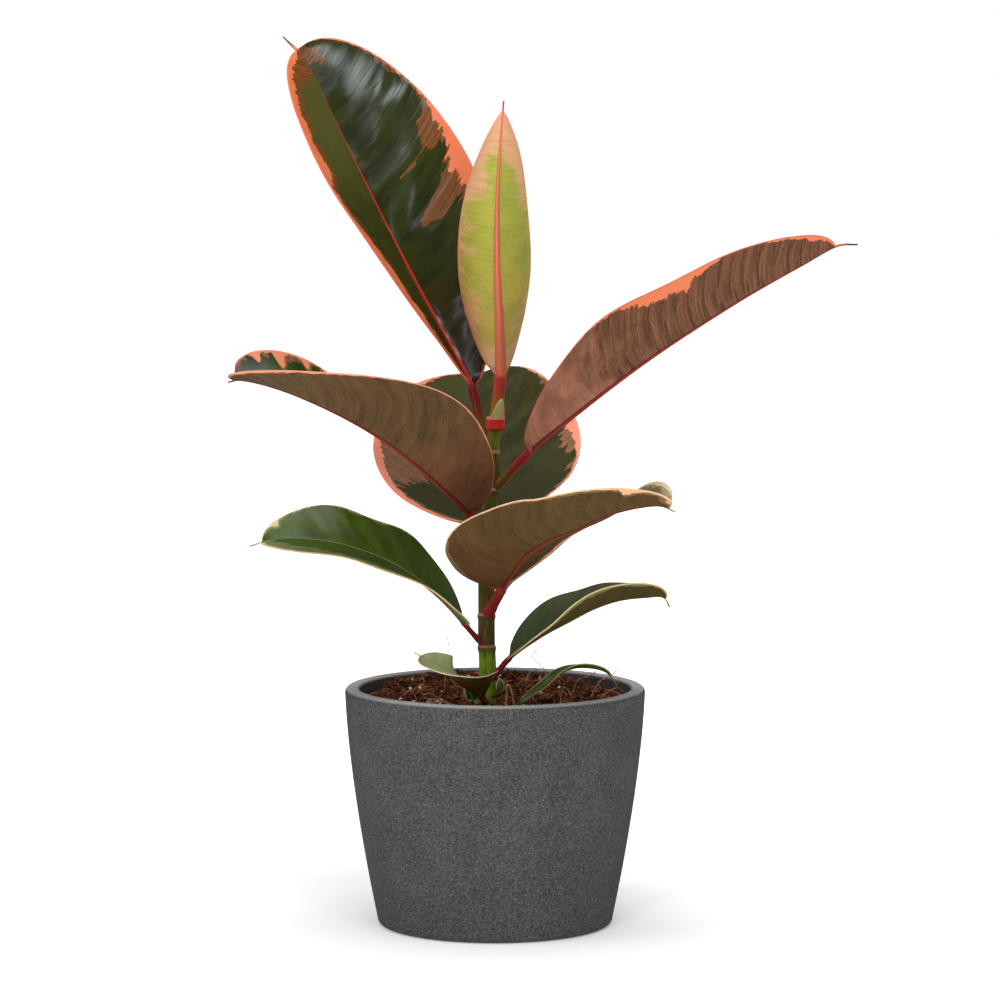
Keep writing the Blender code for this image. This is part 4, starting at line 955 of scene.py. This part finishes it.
class LeafSkin(Shader):
    """Both faces of a leaf with veins and rib, and the variegation, broken up in fingers along the veins."""

    def __init__(self, name, look):
        super().__init__(name.replace("leaf", "skin"), specular=LEAF_SPECULAR)
        self.look = look
        for key in ("along", "lateral", "vein", "edge", "side", "rib", "stalk", "under"):
            setattr(self, key, self.attribute(key))
        seed = sum(map(ord, name)) % SEEDS
        self.shift = self.math("ADD", self.times(self.side, SIDE_SHIFT), float(seed))
        self.stepped_vein = self.math("SNAP", self.vein, FINGER_WIDTH)
        self.fine, self.mottle, self.ragged = (self.grain(kind) for kind in ("fine", "mottle", "ragged"))
        self.under_rib = self.ramp(self.rib, 1.0, 0.7)

    def grain(self, kind):
        """A noise drawn out along the veins, for fingers in steps of a finger's width."""
        across, along, sideways, detail, rough = SKIN_GRAINS[kind]
        line = self.stepped_vein if kind.startswith("fingers") else self.vein
        place = self.combine(self.times(line, across), self.times(self.lateral, along),
                             self.math("ADD", self.shift, sideways))
        return self.noise(place, 1.0, detail, rough)

    def jag(self, fingers, broad):
        return self.math("MULTIPLY_ADD", self.spread(self.grain(fingers)), JAG_SHARE,
                         self.times(self.spread(self.grain(broad)), JAG_SHARE))

    def masks(self):
        """Where the pale margin is, and where the half tone reaches to."""
        jag = self.jag("fingers", "broad")
        jag = self.math("MULTIPLY_ADD", self.spread(self.ragged), FINE_JAG_SHARE, jag)
        jag_half = self.jag("fingers_tone", "broad_tone")
        inner = self.math("MULTIPLY_ADD", jag, self.attribute("ragged"), self.attribute("inner"))
        half = self.math("MULTIPLY_ADD", jag_half, self.attribute("ragged_half"), self.attribute("half"))
        soft = self.look["half_soft"]
        return self.ramp(inner, 0.12, -0.12), self.ramp(half, soft, -soft)

    def veins(self):
        """The side veins' lines, the same where they show, and a painted shade that fades from each vein to
        the next, as if light fell across the ridge between them.
        """
        phase = self.math("DIVIDE", self.vein, self.look["pitch"])
        band = self.math("FRACT", self.math("ADD", phase, self.times(self.grain("wander"), 1.6)))
        line = self.ramp(self.math("ABSOLUTE", self.math("SUBTRACT", band, 0.5)), 0.44, 0.5)
        shown = self.times(line, self.ramp(self.grain("faint"), 0.3, 0.7, 0.3, 1.0))
        return line, shown, self.ramp(band, 0.05, 1.0, 1.0, 0.0)

    def upper_face(self, near_base, shown):
        """The upper face's own colour with a painted sheen on its left half, the half tone on it, and the
        pale margin.
        """
        look, half, pale = self.look, self.look["half"], self.look["pale"]
        main = self.tint(*look["upper"], self.mottle, 0.35, 0.65)
        main = self.mix(near_base, main, look.get("upper_base", look["upper"][1]))
        main = self.mix(self.times(shown, look["lines"]), main, half)
        # Painted sheen: the left half of the upper face turns lighter, more so from the blade's middle to its
        # tip, as if lit from the left. Where a leaf has no sheen colour of its own, it turns to its main
        # upper colour.
        left, outward = self.ramp(self.side, 0.0, -1.0, 0.0, 0.8), self.ramp(self.along, 0.4, 0.75, 0.15, 1.0)
        main = self.mix(self.times(left, outward), main, look.get("left_sheen", look["upper"][0]))
        tone = self.tint(half, pale, self.fine, 0.35, 0.7, 0.2)
        tone = self.mix(self.ramp(self.ragged, 0.35, 0.6, 0.35, 0.0), tone, look["upper"][0])
        margin = self.tint(pale, half, self.fine, 0.4, 0.8, 0.2)
        return main, tone, self.mix(self.ramp(self.mottle, 0.4, 0.7, 0.6, 0.0), margin, pale)

    def under_face(self, near_base, shown, shade):
        """The lower face's own colour with a painted shade between its veins, the half tone on it, and the
        pale margin.
        """
        look, under, vein = self.look, self.look["under"], self.look["vein_under"]
        main = self.tint(*under, self.mottle, 0.3, 0.7)
        main = self.mix(near_base, main, look.get("under_base", under[0]))
        # Painted shade: each band between side veins takes on the vein colour just past its vein and fades
        # back before the next, as light falling across the ridges.
        main = self.mix(self.times(shade, 0.5 * look["bands"]), main, vein)
        main = self.mix(self.times(shown, 0.8 * look["bands"]), main, vein)
        main = self.tint(main, vein, self.fine, 0.42, 0.7, look["comb"])
        main = self.tint(main, vein, self.grain("pores"), 0.45, 0.7, 0.25)
        main = self.tint(main, under[1], self.grain("net"), 0.46, 0.68, 0.3)
        tone = self.mix(look["half_shown"], under[0], look["half"])
        tone = self.tint(tone, look["rib_under"], self.fine, 0.5, 0.7, look["streaks"])
        return main, tone, look["pale_under"]

    def variegated(self, face, masks):
        (main, tone, pale), (pale_mask, half_mask) = face, masks
        colour = self.mix(pale_mask, self.mix(half_mask, main, tone), pale)
        return self.tint(colour, self.look["edge"], self.edge, 0.5, 0.2)

    def ribbed(self, upper, below):
        """Both faces with the rib, put together, and the drip tip and the stalk."""
        look = self.look
        width = self.ramp(self.along, 0.0, 1.0, look["upper_rib"], 0.25)
        upper = self.tint(upper, look["rib"], self.math("DIVIDE", self.lateral, width), 1.0, 0.55)
        keel = self.tint(look["rib_under"], look["vein_under"], self.rib, 0.8, 0.0, look["keel"])
        blade = self.mix(self.under, upper, self.mix(self.under_rib, below, keel))
        blade = self.tint(blade, look["tip"], self.along, *DRIP_TIP)
        stalk = self.tint(look.get("stalk_low", look["stalk"]), look["stalk"], self.along, *STALK_FADE)
        return self.mix(self.stalk, blade, stalk)

    def roughness(self):
        rough = self.ramp(self.under, 0.0, 1.0, self.look["gloss"], self.look["rough_under"])
        rough = self.math("ADD", rough, self.ramp(self.fine, 0.3, 0.7, -0.03, 0.05))
        return self.math("MULTIPLY_ADD", self.times(self.stalk, self.under), -0.3, rough)

    def relief(self, line):
        """Swells between the veins and a ridge along each, but none on the stalk and under the rib."""
        height = self.times(line, self.ramp(self.under, 0.0, 1.0, -0.03, 0.12))
        for part in (self.times(self.grain("quilt"), self.look["quilt"]),
                     self.times(self.grain("swell"), self.look["swell"]), self.times(self.fine, 0.03)):
            height = self.math("ADD", height, part)
        plain = self.math("MAXIMUM", self.stalk, self.times(self.under, self.under_rib))
        return self.times(height, self.math("SUBTRACT", 1.0, plain))

    def made(self):
        masks, (line, shown, shade) = self.masks(), self.veins()
        near_base = self.math("MULTIPLY_ADD", self.spread(self.mottle), 0.2, self.along)
        near_base = self.ramp(near_base, 0.0, 0.45, 0.8, 0.0)
        upper = self.variegated(self.upper_face(near_base, shown), masks)
        below = self.variegated(self.under_face(near_base, shown, shade), masks)
        return self.finish(self.ribbed(upper, below), self.roughness(), self.relief(line), 0.4)


# Pots

def planter_radius(z):
    rise = max(1 - z / PLANTER_HEIGHT, 0)
    return PLANTER_RIM_RADIUS - (PLANTER_RIM_RADIUS - PLANTER_FOOT_RADIUS) * rise**PLANTER_SWELL


def make_planter():
    top = PLANTER_HEIGHT
    floor_radius = planter_radius(PLANTER_FLOOR + FLOOR_ROUND) - PLANTER_WALL
    inner_lip = PLANTER_RIM_RADIUS - PLANTER_WALL
    inner_heights = np.linspace(PLANTER_FLOOR + FLOOR_ROUND, top - RIM_INNER_ROUND, PLANTER_INNER_ROWS)
    outer_heights = np.linspace(top - RIM_OUTER_ROUND, FOOT_ROUND, PLANTER_OUTER_ROWS)
    profile = [(0, PLANTER_FLOOR)]
    profile += arc((floor_radius - FLOOR_ROUND, PLANTER_FLOOR + FLOOR_ROUND), FLOOR_ROUND, -90, 0,
                   FLOOR_ROUND_POINTS)
    profile += [(planter_radius(z) - PLANTER_WALL, z) for z in inner_heights[1:-1]]
    profile += arc((inner_lip + RIM_INNER_ROUND, top - RIM_INNER_ROUND), RIM_INNER_ROUND, 180, 90,
                   RIM_INNER_POINTS)
    profile += arc((PLANTER_RIM_RADIUS - RIM_OUTER_ROUND, top - RIM_OUTER_ROUND), RIM_OUTER_ROUND, 90, 0,
                   RIM_OUTER_POINTS)
    profile += [(planter_radius(z), z) for z in outer_heights[1:-1]]
    profile += arc((planter_radius(FOOT_ROUND) - FOOT_ROUND, FOOT_ROUND), FOOT_ROUND, 0, -90, FOOT_POINTS)
    profile += [(0, 0)]
    corners, faces = turned(profile, PLANTER_STEPS)
    add_piece("planter_body", corners, faces, stoneware(), ["planter"])


def stoneware():
    """Dark grey stoneware with pale grains, small dark pits and a smoother rim, with painted light on the
    rim's top.
    """
    s = Shader("planter_speckle", 0.8)
    place, rise = s.place(), s.height()
    grain = s.noise(place, 1.1, 4.0, 0.7)
    colour = s.tint((67, 67, 67), (75, 75, 75), s.noise(place, 0.05), 0.35, 0.65)
    colour = s.tint(colour, (124, 123, 122), grain, 0.42, 0.68, 0.55)
    colour = s.tint(colour, (42, 42, 43), grain, 0.5, 0.34, 0.7)
    pale = s.dots(place, 0.62, (0.2, 0.1), (0.55, 0.62))
    colour = s.mix(s.times(pale, 0.5), colour, (180, 178, 176))
    pit = s.dots(place, 0.5, (0.24, 0.12), (0.3, 0.22))
    colour = s.mix(s.times(pit, 0.8), colour, (34, 34, 36))
    # Painted light: the rim's top turns pale grey, as where it catches the light from above.
    colour = s.tint(colour, (186, 184, 182), rise, PLANTER_HEIGHT - 1.4, PLANTER_HEIGHT - 0.1, 0.9)
    gloss = s.ramp(rise, PLANTER_HEIGHT - 3, PLANTER_HEIGHT, 0.0, 0.2)
    rough = s.math("SUBTRACT", s.ramp(grain, 0.3, 0.7, 0.72, 0.88), gloss)
    return s.finish(colour, rough, s.math("SUBTRACT", s.times(grain, 0.8), pit), 0.16)


def dress_nursery_pot():
    s = Shader("nursery_plastic", 0.45)
    place = s.place()
    dust = s.noise(place, 0.9, 4.0, 0.65)
    colour = s.tint((166, 88, 62), (146, 72, 50), s.noise(place, 0.12), 0.35, 0.65)
    colour = s.tint(colour, (104, 62, 42), dust, 0.55, 0.75, 0.6)
    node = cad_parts["nursery_pot"]
    node.data.materials.clear()
    node.data.materials.append(s.finish(colour, s.ramp(dust, 0.3, 0.7, 0.4, 0.6), dust, 0.05))


# Soil

def soil_top(x, y):
    """Height of the soil's surface, as in the part's source."""
    r = math.hypot(x, y)
    back, left = (y / r, -x / r) if r else (0, 0)
    heap = SOIL_HEAP + SOIL_HEAP_BACK * back + SOIL_HEAP_LEFT * left
    height = SOIL_MIDDLE + heap * min(r / SOIL_SHOULDER, 1.15) ** 1.5
    height -= SOIL_EDGE_DROP * max((r - SOIL_SHOULDER) / SOIL_EDGE_WIDTH, 0) ** 2
    lumps = math.sin(0.31 * x + 1.3) * math.sin(0.27 * y + 0.4) + 0.7 * math.sin(0.13 * x - 0.22 * y)
    return height + SOIL_LUMP * lumps * smooth_step((r - SOIL_LEVEL_RADIUS) / SOIL_LUMP_RISE)


def crumbled(x, y):
    """The soil's surface with its crumbs."""
    rough = noise.fractal(Vector((x * CRUMBLE_SCALE, y * CRUMBLE_SCALE, CRUMBLE_SLICE)), *CRUMBLE_FRACTAL)
    return soil_top(x, y) - CRUMBLE_DROP + CRUMBLE_HEIGHT * rough


def make_soil():
    profile = [(SOIL_RADIUS * i / SOIL_RINGS, PLANTER_HEIGHT) for i in range(SOIL_RINGS + 1)]
    profile += [(SOIL_RADIUS, SOIL_STEP_HEIGHT + SOIL_SIDE_HEIGHT), (SOIL_STEP_RADIUS, SOIL_STEP_HEIGHT),
                (SOIL_FOOT_RADIUS, SOIL_BOTTOM), (0, SOIL_BOTTOM)]
    corners, faces = turned(profile, SOIL_STEPS)
    corners = [(x, y, crumbled(x, y) if z >= PLANTER_HEIGHT else z) for x, y, z in corners]
    add_piece("soil_bed", corners, faces, coir(), ["soil"])


def coir():
    """Dark, moist coir."""
    s = Shader("coir_bed", 0.95)
    place = s.place()
    colour = s.tint((26, 9, 3), (72, 32, 14), s.noise(place, 0.35, 5.0, 0.65), 0.35, 0.65)
    colour = s.tint(colour, (128, 62, 32), s.noise(place, 1.4), 0.56, 0.72, 0.7)
    return s.finish(colour, None, s.noise(place, 1.2, 5.0, 0.7), 0.8)


def toned_coir(name, dark, light, roughness):
    """Coir pieces, each with its own tone from dark to light."""
    s = Shader(name, roughness)
    place = s.place()
    colour = s.mix(s.attribute("tone"), dark, light)
    colour = s.tint(colour, dark, s.noise(place, 1.1, 4.0, 0.7), 0.45, 0.7, 0.5)
    return s.finish(colour, None, s.noise(place, 2.2), 0.2)


def between(generator, low, high, power=1):
    """A random value, with a power over 1 more often a low one."""
    return low + (high - low) * generator.random() ** power


def lump(generator, middle, size, sides=8, rings=5):
    """A small irregular lump as (corners, faces)."""
    turn = between(generator, 0, math.pi)
    tilt = between(generator, -LUMP_TILT, LUMP_TILT)
    corners = [(0, 0, -1)]
    for i in range(1, rings):
        latitude = -math.pi / 2 + math.pi * i / rings
        for k in range(sides):
            angle = 2 * math.pi * (k + 0.5 * (i % 2)) / sides
            corners.append((math.cos(latitude) * math.cos(angle), math.cos(latitude) * math.sin(angle),
                            math.sin(latitude)))
    corners.append((0, 0, 1))
    shift = Vector((between(generator, 0, LUMP_SHIFT), 0, 0))
    placed = []
    for corner in map(Vector, corners):
        bumped = corner * (1 + LUMP_ROUGHNESS * noise.noise(corner * LUMP_SCALE + shift))
        x, y, z = (bumped[k] * size[k] for k in range(3))
        x, z = x * math.cos(tilt) - z * math.sin(tilt), x * math.sin(tilt) + z * math.cos(tilt)
        placed.append((middle[0] + x * math.cos(turn) - y * math.sin(turn),
                       middle[1] + x * math.sin(turn) + y * math.cos(turn), middle[2] + z))
    faces = [(0, 1 + (k + 1) % sides, 1 + k) for k in range(sides)]
    for i in range(rings - 2):
        faces += ring_faces(1 + i * sides, 1 + (i + 1) * sides, sides)
    last = 1 + (rings - 2) * sides
    faces += [(len(corners) - 1, last + k, last + (k + 1) % sides) for k in range(sides)]
    return placed, faces


def strand(points, radii, sides):
    """A thin tube through points as (corners, faces)."""
    points = np.array(points, float)
    tangent = unit(np.gradient(points, axis=0))
    first = unit(np.cross(tangent, STRAND_SIDE))
    second = np.cross(tangent, first)
    angles = np.arange(sides) * 2 * math.pi / sides
    radii = np.asarray(radii)[:, None]
    rings = [points + radii * (math.cos(a) * first + math.sin(a) * second) for a in angles]
    return np.stack(rings, 1).reshape(-1, 3), loft_faces(len(points), sides)


class Heap:
    """Collects small bodies into one piece, with a tone for each."""

    def __init__(self):
        self.corners, self.faces, self.tones = [], [], []

    def add(self, body, tone):
        corners, faces = body
        start = len(self.corners)
        self.corners += [tuple(c) for c in corners]
        self.faces += [tuple(start + i for i in face) for face in faces]
        self.tones += [tone] * len(corners)

    def piece(self, name, look):
        made = add_piece(name, self.corners, self.faces, look)
        add_attribute(made, "tone", self.tones)


def spot_on_soil(generator, clear):
    """A random place on the soil that is clear of its edge and isn't in the stem."""
    while True:
        radius = (SOIL_RADIUS - clear) * math.sqrt(generator.random())
        angle = 2 * math.pi * generator.random()
        x, y = radius * math.cos(angle), radius * math.sin(angle)
        if math.hypot(x - STEM_FOOT[0], y - STEM_FOOT[1]) > STEM_CLEAR:
            return x, y


def make_crumbs():
    generator = random.Random(CRUMB_SEED)
    heap = Heap()
    for _ in range(CRUMBS):
        x, y = spot_on_soil(generator, CRUMB_CLEAR)
        size = between(generator, *CRUMB_SIZES, 2)
        shape = (size * between(generator, *CRUMB_LENGTHS), size, size * CRUMB_FLATNESS)
        place = (x, y, crumbled(x, y) + CRUMB_LIFT)
        heap.add(lump(generator, place, shape, 6, 4), generator.random())
    for _ in range(LARGE_CRUMBS):
        x, y = spot_on_soil(generator, LARGE_CRUMB_CLEAR)
        shape = [between(generator, *sizes) for sizes in LARGE_CRUMB_SIZES]
        place = (x, y, crumbled(x, y) + LARGE_CRUMB_LIFT)
        heap.add(lump(generator, place, shape), generator.random())
    heap.piece("coir_crumbs", toned_coir("coir_crumb", (34, 13, 5), (150, 76, 40), 0.85))


def make_fibres():
    generator = random.Random(FIBRE_SEED)
    heap = Heap()
    for _ in range(FIBRES):
        x, y = spot_on_soil(generator, FIBRE_CLEAR)
        heading = between(generator, 0, 2 * math.pi)
        step = between(generator, *FIBRE_LENGTHS, 1.5) / FIBRE_STEPS
        bend = between(generator, -FIBRE_BEND, FIBRE_BEND)
        rise = between(generator, 0, FIBRE_RISE)
        points = []
        for i in range(FIBRE_STEPS + 1):
            points.append((x, y, crumbled(x, y) + FIBRE_LIFT + rise * math.sin(math.pi * i / FIBRE_STEPS)))
            x, y = x + step * math.cos(heading), y + step * math.sin(heading)
            heading += bend
            if math.hypot(x, y) > SOIL_RADIUS - FIBRE_END_CLEAR:
                break
        if len(points) < FIBRE_LEAST_POINTS:
            continue
        radius = between(generator, *FIBRE_RADII, 2)
        heap.add(strand(points, np.linspace(radius, radius / 2, len(points)), 4), generator.random() ** 2.5)
    heap.piece("coir_fibres", toned_coir("coir_fibre", (64, 26, 11), (220, 138, 82), 0.62))


def make_roots():
    """The fine pale roots and hairs that stand out of the soil."""
    heap = Heap()
    for line, radius in ROOTS:
        points, _ = smooth_line(line, ROOT_STEPS)
        heap.add(strand(points, np.full(len(points), radius), ROOT_SIDES), 0.5)
    s = Shader("root_hair", 0.6)
    colour = s.tint((226, 184, 138), (184, 128, 84), s.noise(s.place(), 0.5), 0.35, 0.65)
    heap.piece("root_hairs", s.finish(colour))


def make_perlite():
    """White grains, about half of them in a group to the front left."""
    generator = random.Random(PERLITE_SEED)
    heap = Heap()
    for i in range(PERLITE_GRAINS):
        if i < PERLITE_GROUP:
            x, y = (PERLITE_PLACE[k] + PERLITE_SPREAD[k] * generator.gauss(0, 1) for k in (0, 1))
        else:
            x, y = spot_on_soil(generator, PERLITE_CLEAR)
        if math.hypot(x, y) > SOIL_RADIUS - PERLITE_EDGE_CLEAR:
            continue
        size = between(generator, *PERLITE_SIZES)
        place = (x, y, crumbled(x, y) + PERLITE_RISE)
        heap.add(lump(generator, place, [size] * 3, 7), generator.random())
    s = Shader("perlite_grain", 0.85)
    colour = s.mix(s.attribute("tone"), (255, 254, 250), (240, 234, 222))
    heap.piece("perlite_grains", s.finish(colour, None, s.noise(s.place(), 2.0, 4.0), 0.2))


# Stem and stipule

def make_stem():
    line, _ = smooth_line(STEM_AXIS)
    heights = np.arange(STEM_AXIS[0][2], STEM_AXIS[-1][2] + STEM_STEP / 2, STEM_STEP)
    angles = np.arange(STEM_SIDES) * 2 * math.pi / STEM_SIDES
    corners = []
    for height in heights:
        x, y, radius = (np.interp(height, line[:, 2], line[:, k]) for k in (0, 1, 3))
        gaps = np.array([height - node for node in STEM_NODES])
        radius += NODE_RIDGE * min(np.exp(-((gaps / NODE_SPREAD) ** 2)).sum(), 1)
        radius -= SCAR_DEPTH * min(np.exp(-(((gaps - SCAR_RISE) / SCAR_SPREAD) ** 2)).sum(), 1)
        for a in angles:
            spot = zip((math.cos(a), math.sin(a), height), BARK_WOBBLE_SCALE)
            wobble = BARK_WOBBLE * noise.noise(Vector([value * scale for value, scale in spot]))
            corners.append((x + (radius + wobble) * math.cos(a), y + (radius + wobble) * math.sin(a), height))
    faces = loft_faces(len(heights), STEM_SIDES)
    piece = add_piece("stem_bark", corners, faces, bark(), ["stem"])
    near = [min(abs(c[2] - node - SCAR_RISE * RING_RISE) for node in STEM_NODES) for c in corners]
    add_attribute(piece, "node_gap", near)


def bark():
    """Green at the foot, brownish above it and olive towards the tip, with a pinkish ring at each node."""
    s = Shader("stem_skin", 0.42)
    place, height, colour = s.place(), s.height(), BARK_FOOT
    for low, high, shade in BARK_BANDS:
        colour = s.tint(colour, shade, height, low, high)
    stretch = s.add("ShaderNodeVectorMath", (place, (0.9, 0.9, 0.14)), operation="MULTIPLY").outputs[0]
    streak = s.noise(stretch, 1.0, 4.0, 0.6)
    colour = s.tint(colour, (62, 60, 18), streak, 0.48, 0.66, 0.6)
    colour = s.tint(colour, (140, 138, 50), streak, 0.46, 0.3, 0.4)
    colour = s.tint(colour, (186, 124, 98), s.attribute("node_gap"), 0.9, 0.3, 0.75)
    dots = s.dots(place, 0.5, (0.16, 0.08), (0.7, 0.75))
    colour = s.mix(s.times(dots, 0.6), colour, (180, 160, 120))
    return s.finish(colour, s.ramp(streak, 0.3, 0.7, 0.52, 0.62), s.math("ADD", streak, dots), 0.12)


def make_sheath():
    """A band round the tip that rises to a flap on one side, outside first and then inside."""
    angles = np.arange(SHEATH_STEPS) * 2 * math.pi / SHEATH_STEPS
    facing = np.maximum(np.cos(angles - math.radians(FLAP_ANGLE)), 0) ** FLAP_SHARPNESS
    ripple = SHEATH_RIPPLE * np.sin(SHEATH_RIPPLES * angles) * (facing > FLAP_START)
    top = SHEATH_BAND + SHEATH_FLAP * facing + ripple
    shares = np.linspace(0, 1, SHEATH_ROWS)
    corners, rise = [], []
    for out, share in [(SHEATH_WALL, f) for f in shares] + [(0, f) for f in shares[::-1]]:
        radius = SHEATH_RADIUS + out - FLAP_LEAN * facing * max(share - FLAP_BEND, 0) ** 2
        corners.append(np.stack([SHEATH_MIDDLE[0] + radius * np.cos(angles),
                                 SHEATH_MIDDLE[1] + radius * np.sin(angles), SHEATH_BOTTOM + top * share], 1))
        rise.append(top * share)
    rings = len(corners)
    faces = []
    for i in range(rings):
        faces += ring_faces(i * SHEATH_STEPS, (i + 1) % rings * SHEATH_STEPS, SHEATH_STEPS)
    piece = add_piece("stipule_flap", np.concatenate(corners), faces, stipule_skin(),
                      ["stipule_sheath"])
    add_attribute(piece, "rise", np.concatenate(rise))
    add_attribute(piece, "facing_right", np.tile(np.cos(angles), rings))


def stipule_skin():
    """A red band with a pale lip, and a dry flap above it."""
    s = Shader("stipule_skin", 0.4)
    rise = s.attribute("rise")
    colour = s.tint((206, 38, 26), (176, 170, 110), rise, 5.4, 6.4)
    colour = s.tint(colour, (176, 40, 32), s.attribute("facing_right"), 0.86, 0.97)
    lip = s.times(s.ramp(rise, 4.9, 5.3), s.ramp(rise, 5.9, 5.5))
    colour = s.mix(s.times(lip, 0.7), colour, (232, 176, 140))
    colour = s.tint(colour, (150, 60, 34), s.noise(s.place(), 0.5, 2.0), 0.4, 0.75, 0.35)
    colour = s.tint(colour, (120, 40, 30), rise, 0.8, 0.2)
    return s.finish(colour, None, s.noise(s.place(), 1.5), 0.1)


# Stage

def make_light(name, direction, side, power, colour, shines):
    """A square area light that looks at the plant's middle from a direction."""
    lamp = bpy.data.lights.new(name, "AREA")
    lamp.shape = "RECTANGLE"
    lamp.size = lamp.size_y = side * MM
    lamp.energy = power
    lamp.color = colour
    made = bpy.data.objects.new(name, lamp)
    bpy.context.scene.collection.objects.link(made)
    made.visible_glossy = shines
    azimuth, elevation = map(math.radians, direction)
    flat, rise = LIGHT_DISTANCE * math.cos(elevation), LIGHT_DISTANCE * math.sin(elevation)
    place = (flat * math.sin(azimuth), -flat * math.cos(azimuth), LIGHT_AIM + rise)
    made.location = [value * MM for value in place]
    aim = Vector((0, 0, LIGHT_AIM)) * MM - made.location
    made.rotation_euler = aim.to_track_quat("-Z", "Y").to_euler()


def make_world():
    """White all round for the camera, softer and dimmer as light."""
    world = bpy.data.worlds.new("studio")
    bpy.context.scene.world = world
    world.use_nodes = True
    tree = world.node_tree
    tree.nodes.clear()
    out = tree.nodes.new("ShaderNodeOutputWorld")
    mix = tree.nodes.new("ShaderNodeMixShader")
    path = tree.nodes.new("ShaderNodeLightPath")
    shades = []
    for strength in (WORLD_LIGHT, 1.0):
        shade = tree.nodes.new("ShaderNodeBackground")
        shade.inputs["Color"].default_value = (1, 1, 1, 1)
        shade.inputs["Strength"].default_value = strength
        shades.append(shade)
    tree.links.new(path.outputs["Is Camera Ray"], mix.inputs[0])
    tree.links.new(shades[0].outputs[0], mix.inputs[1])
    tree.links.new(shades[1].outputs[0], mix.inputs[2])
    tree.links.new(mix.outputs[0], out.inputs[0])


def make_floor():
    """White paper that glows into the backdrop, and whose shine would lie on the leaves as a grey veil."""
    s = Shader("floor_paper", 0.9)
    place = s.place()
    colour = s.tint((248, 248, 248), (251, 251, 251), s.noise(place, 0.01, 2.0), 0.3, 0.7)
    distance = s.add("ShaderNodeVectorMath", (place,), operation="LENGTH").outputs["Value"]
    s.surface.inputs["Emission Color"].default_value = (1, 1, 1, 1)
    s.put(s.surface.inputs["Emission Strength"], s.ramp(distance, *FLOOR_FADE, FLOOR_GLOW, 1.0))
    mesh = bpy.data.meshes.new("floor")
    half = FLOOR_SIDE / 2 * MM
    corners = [(x * half, y * half, 0) for x, y in ((-1, -1), (1, -1), (1, 1), (-1, 1))]
    mesh.from_pydata(corners, [], [range(4)])
    mesh.materials.append(s.finish(colour))
    floor = bpy.data.objects.new("floor", mesh)
    bpy.context.scene.collection.objects.link(floor)
    floor.location.z = -FLOOR_DROP * MM
    floor.visible_glossy = False


def make_camera():
    camera = bpy.data.objects.new("camera", bpy.data.cameras.new("camera"))
    bpy.context.scene.collection.objects.link(camera)
    camera.location = [value * MM for value in CAMERA_PLACE]
    camera.rotation_euler = (math.radians(90 - CAMERA_PITCH), 0, 0)
    camera.data.lens = CAMERA_LENS
    camera.data.sensor_width = CAMERA_SENSOR
    camera.data.clip_start, camera.data.clip_end = CAMERA_CLIP
    bpy.context.scene.camera = camera


bpy.context.scene.view_settings.view_transform = "Standard"
make_camera()
make_world()
make_floor()
for light in LIGHTS:
    make_light(*light)

make_planter()
dress_nursery_pot()
make_soil()
make_crumbs()
make_fibres()
make_roots()
make_perlite()
make_stem()
make_sheath()
for leaf in LEAVES:
    make_leaf(leaf)
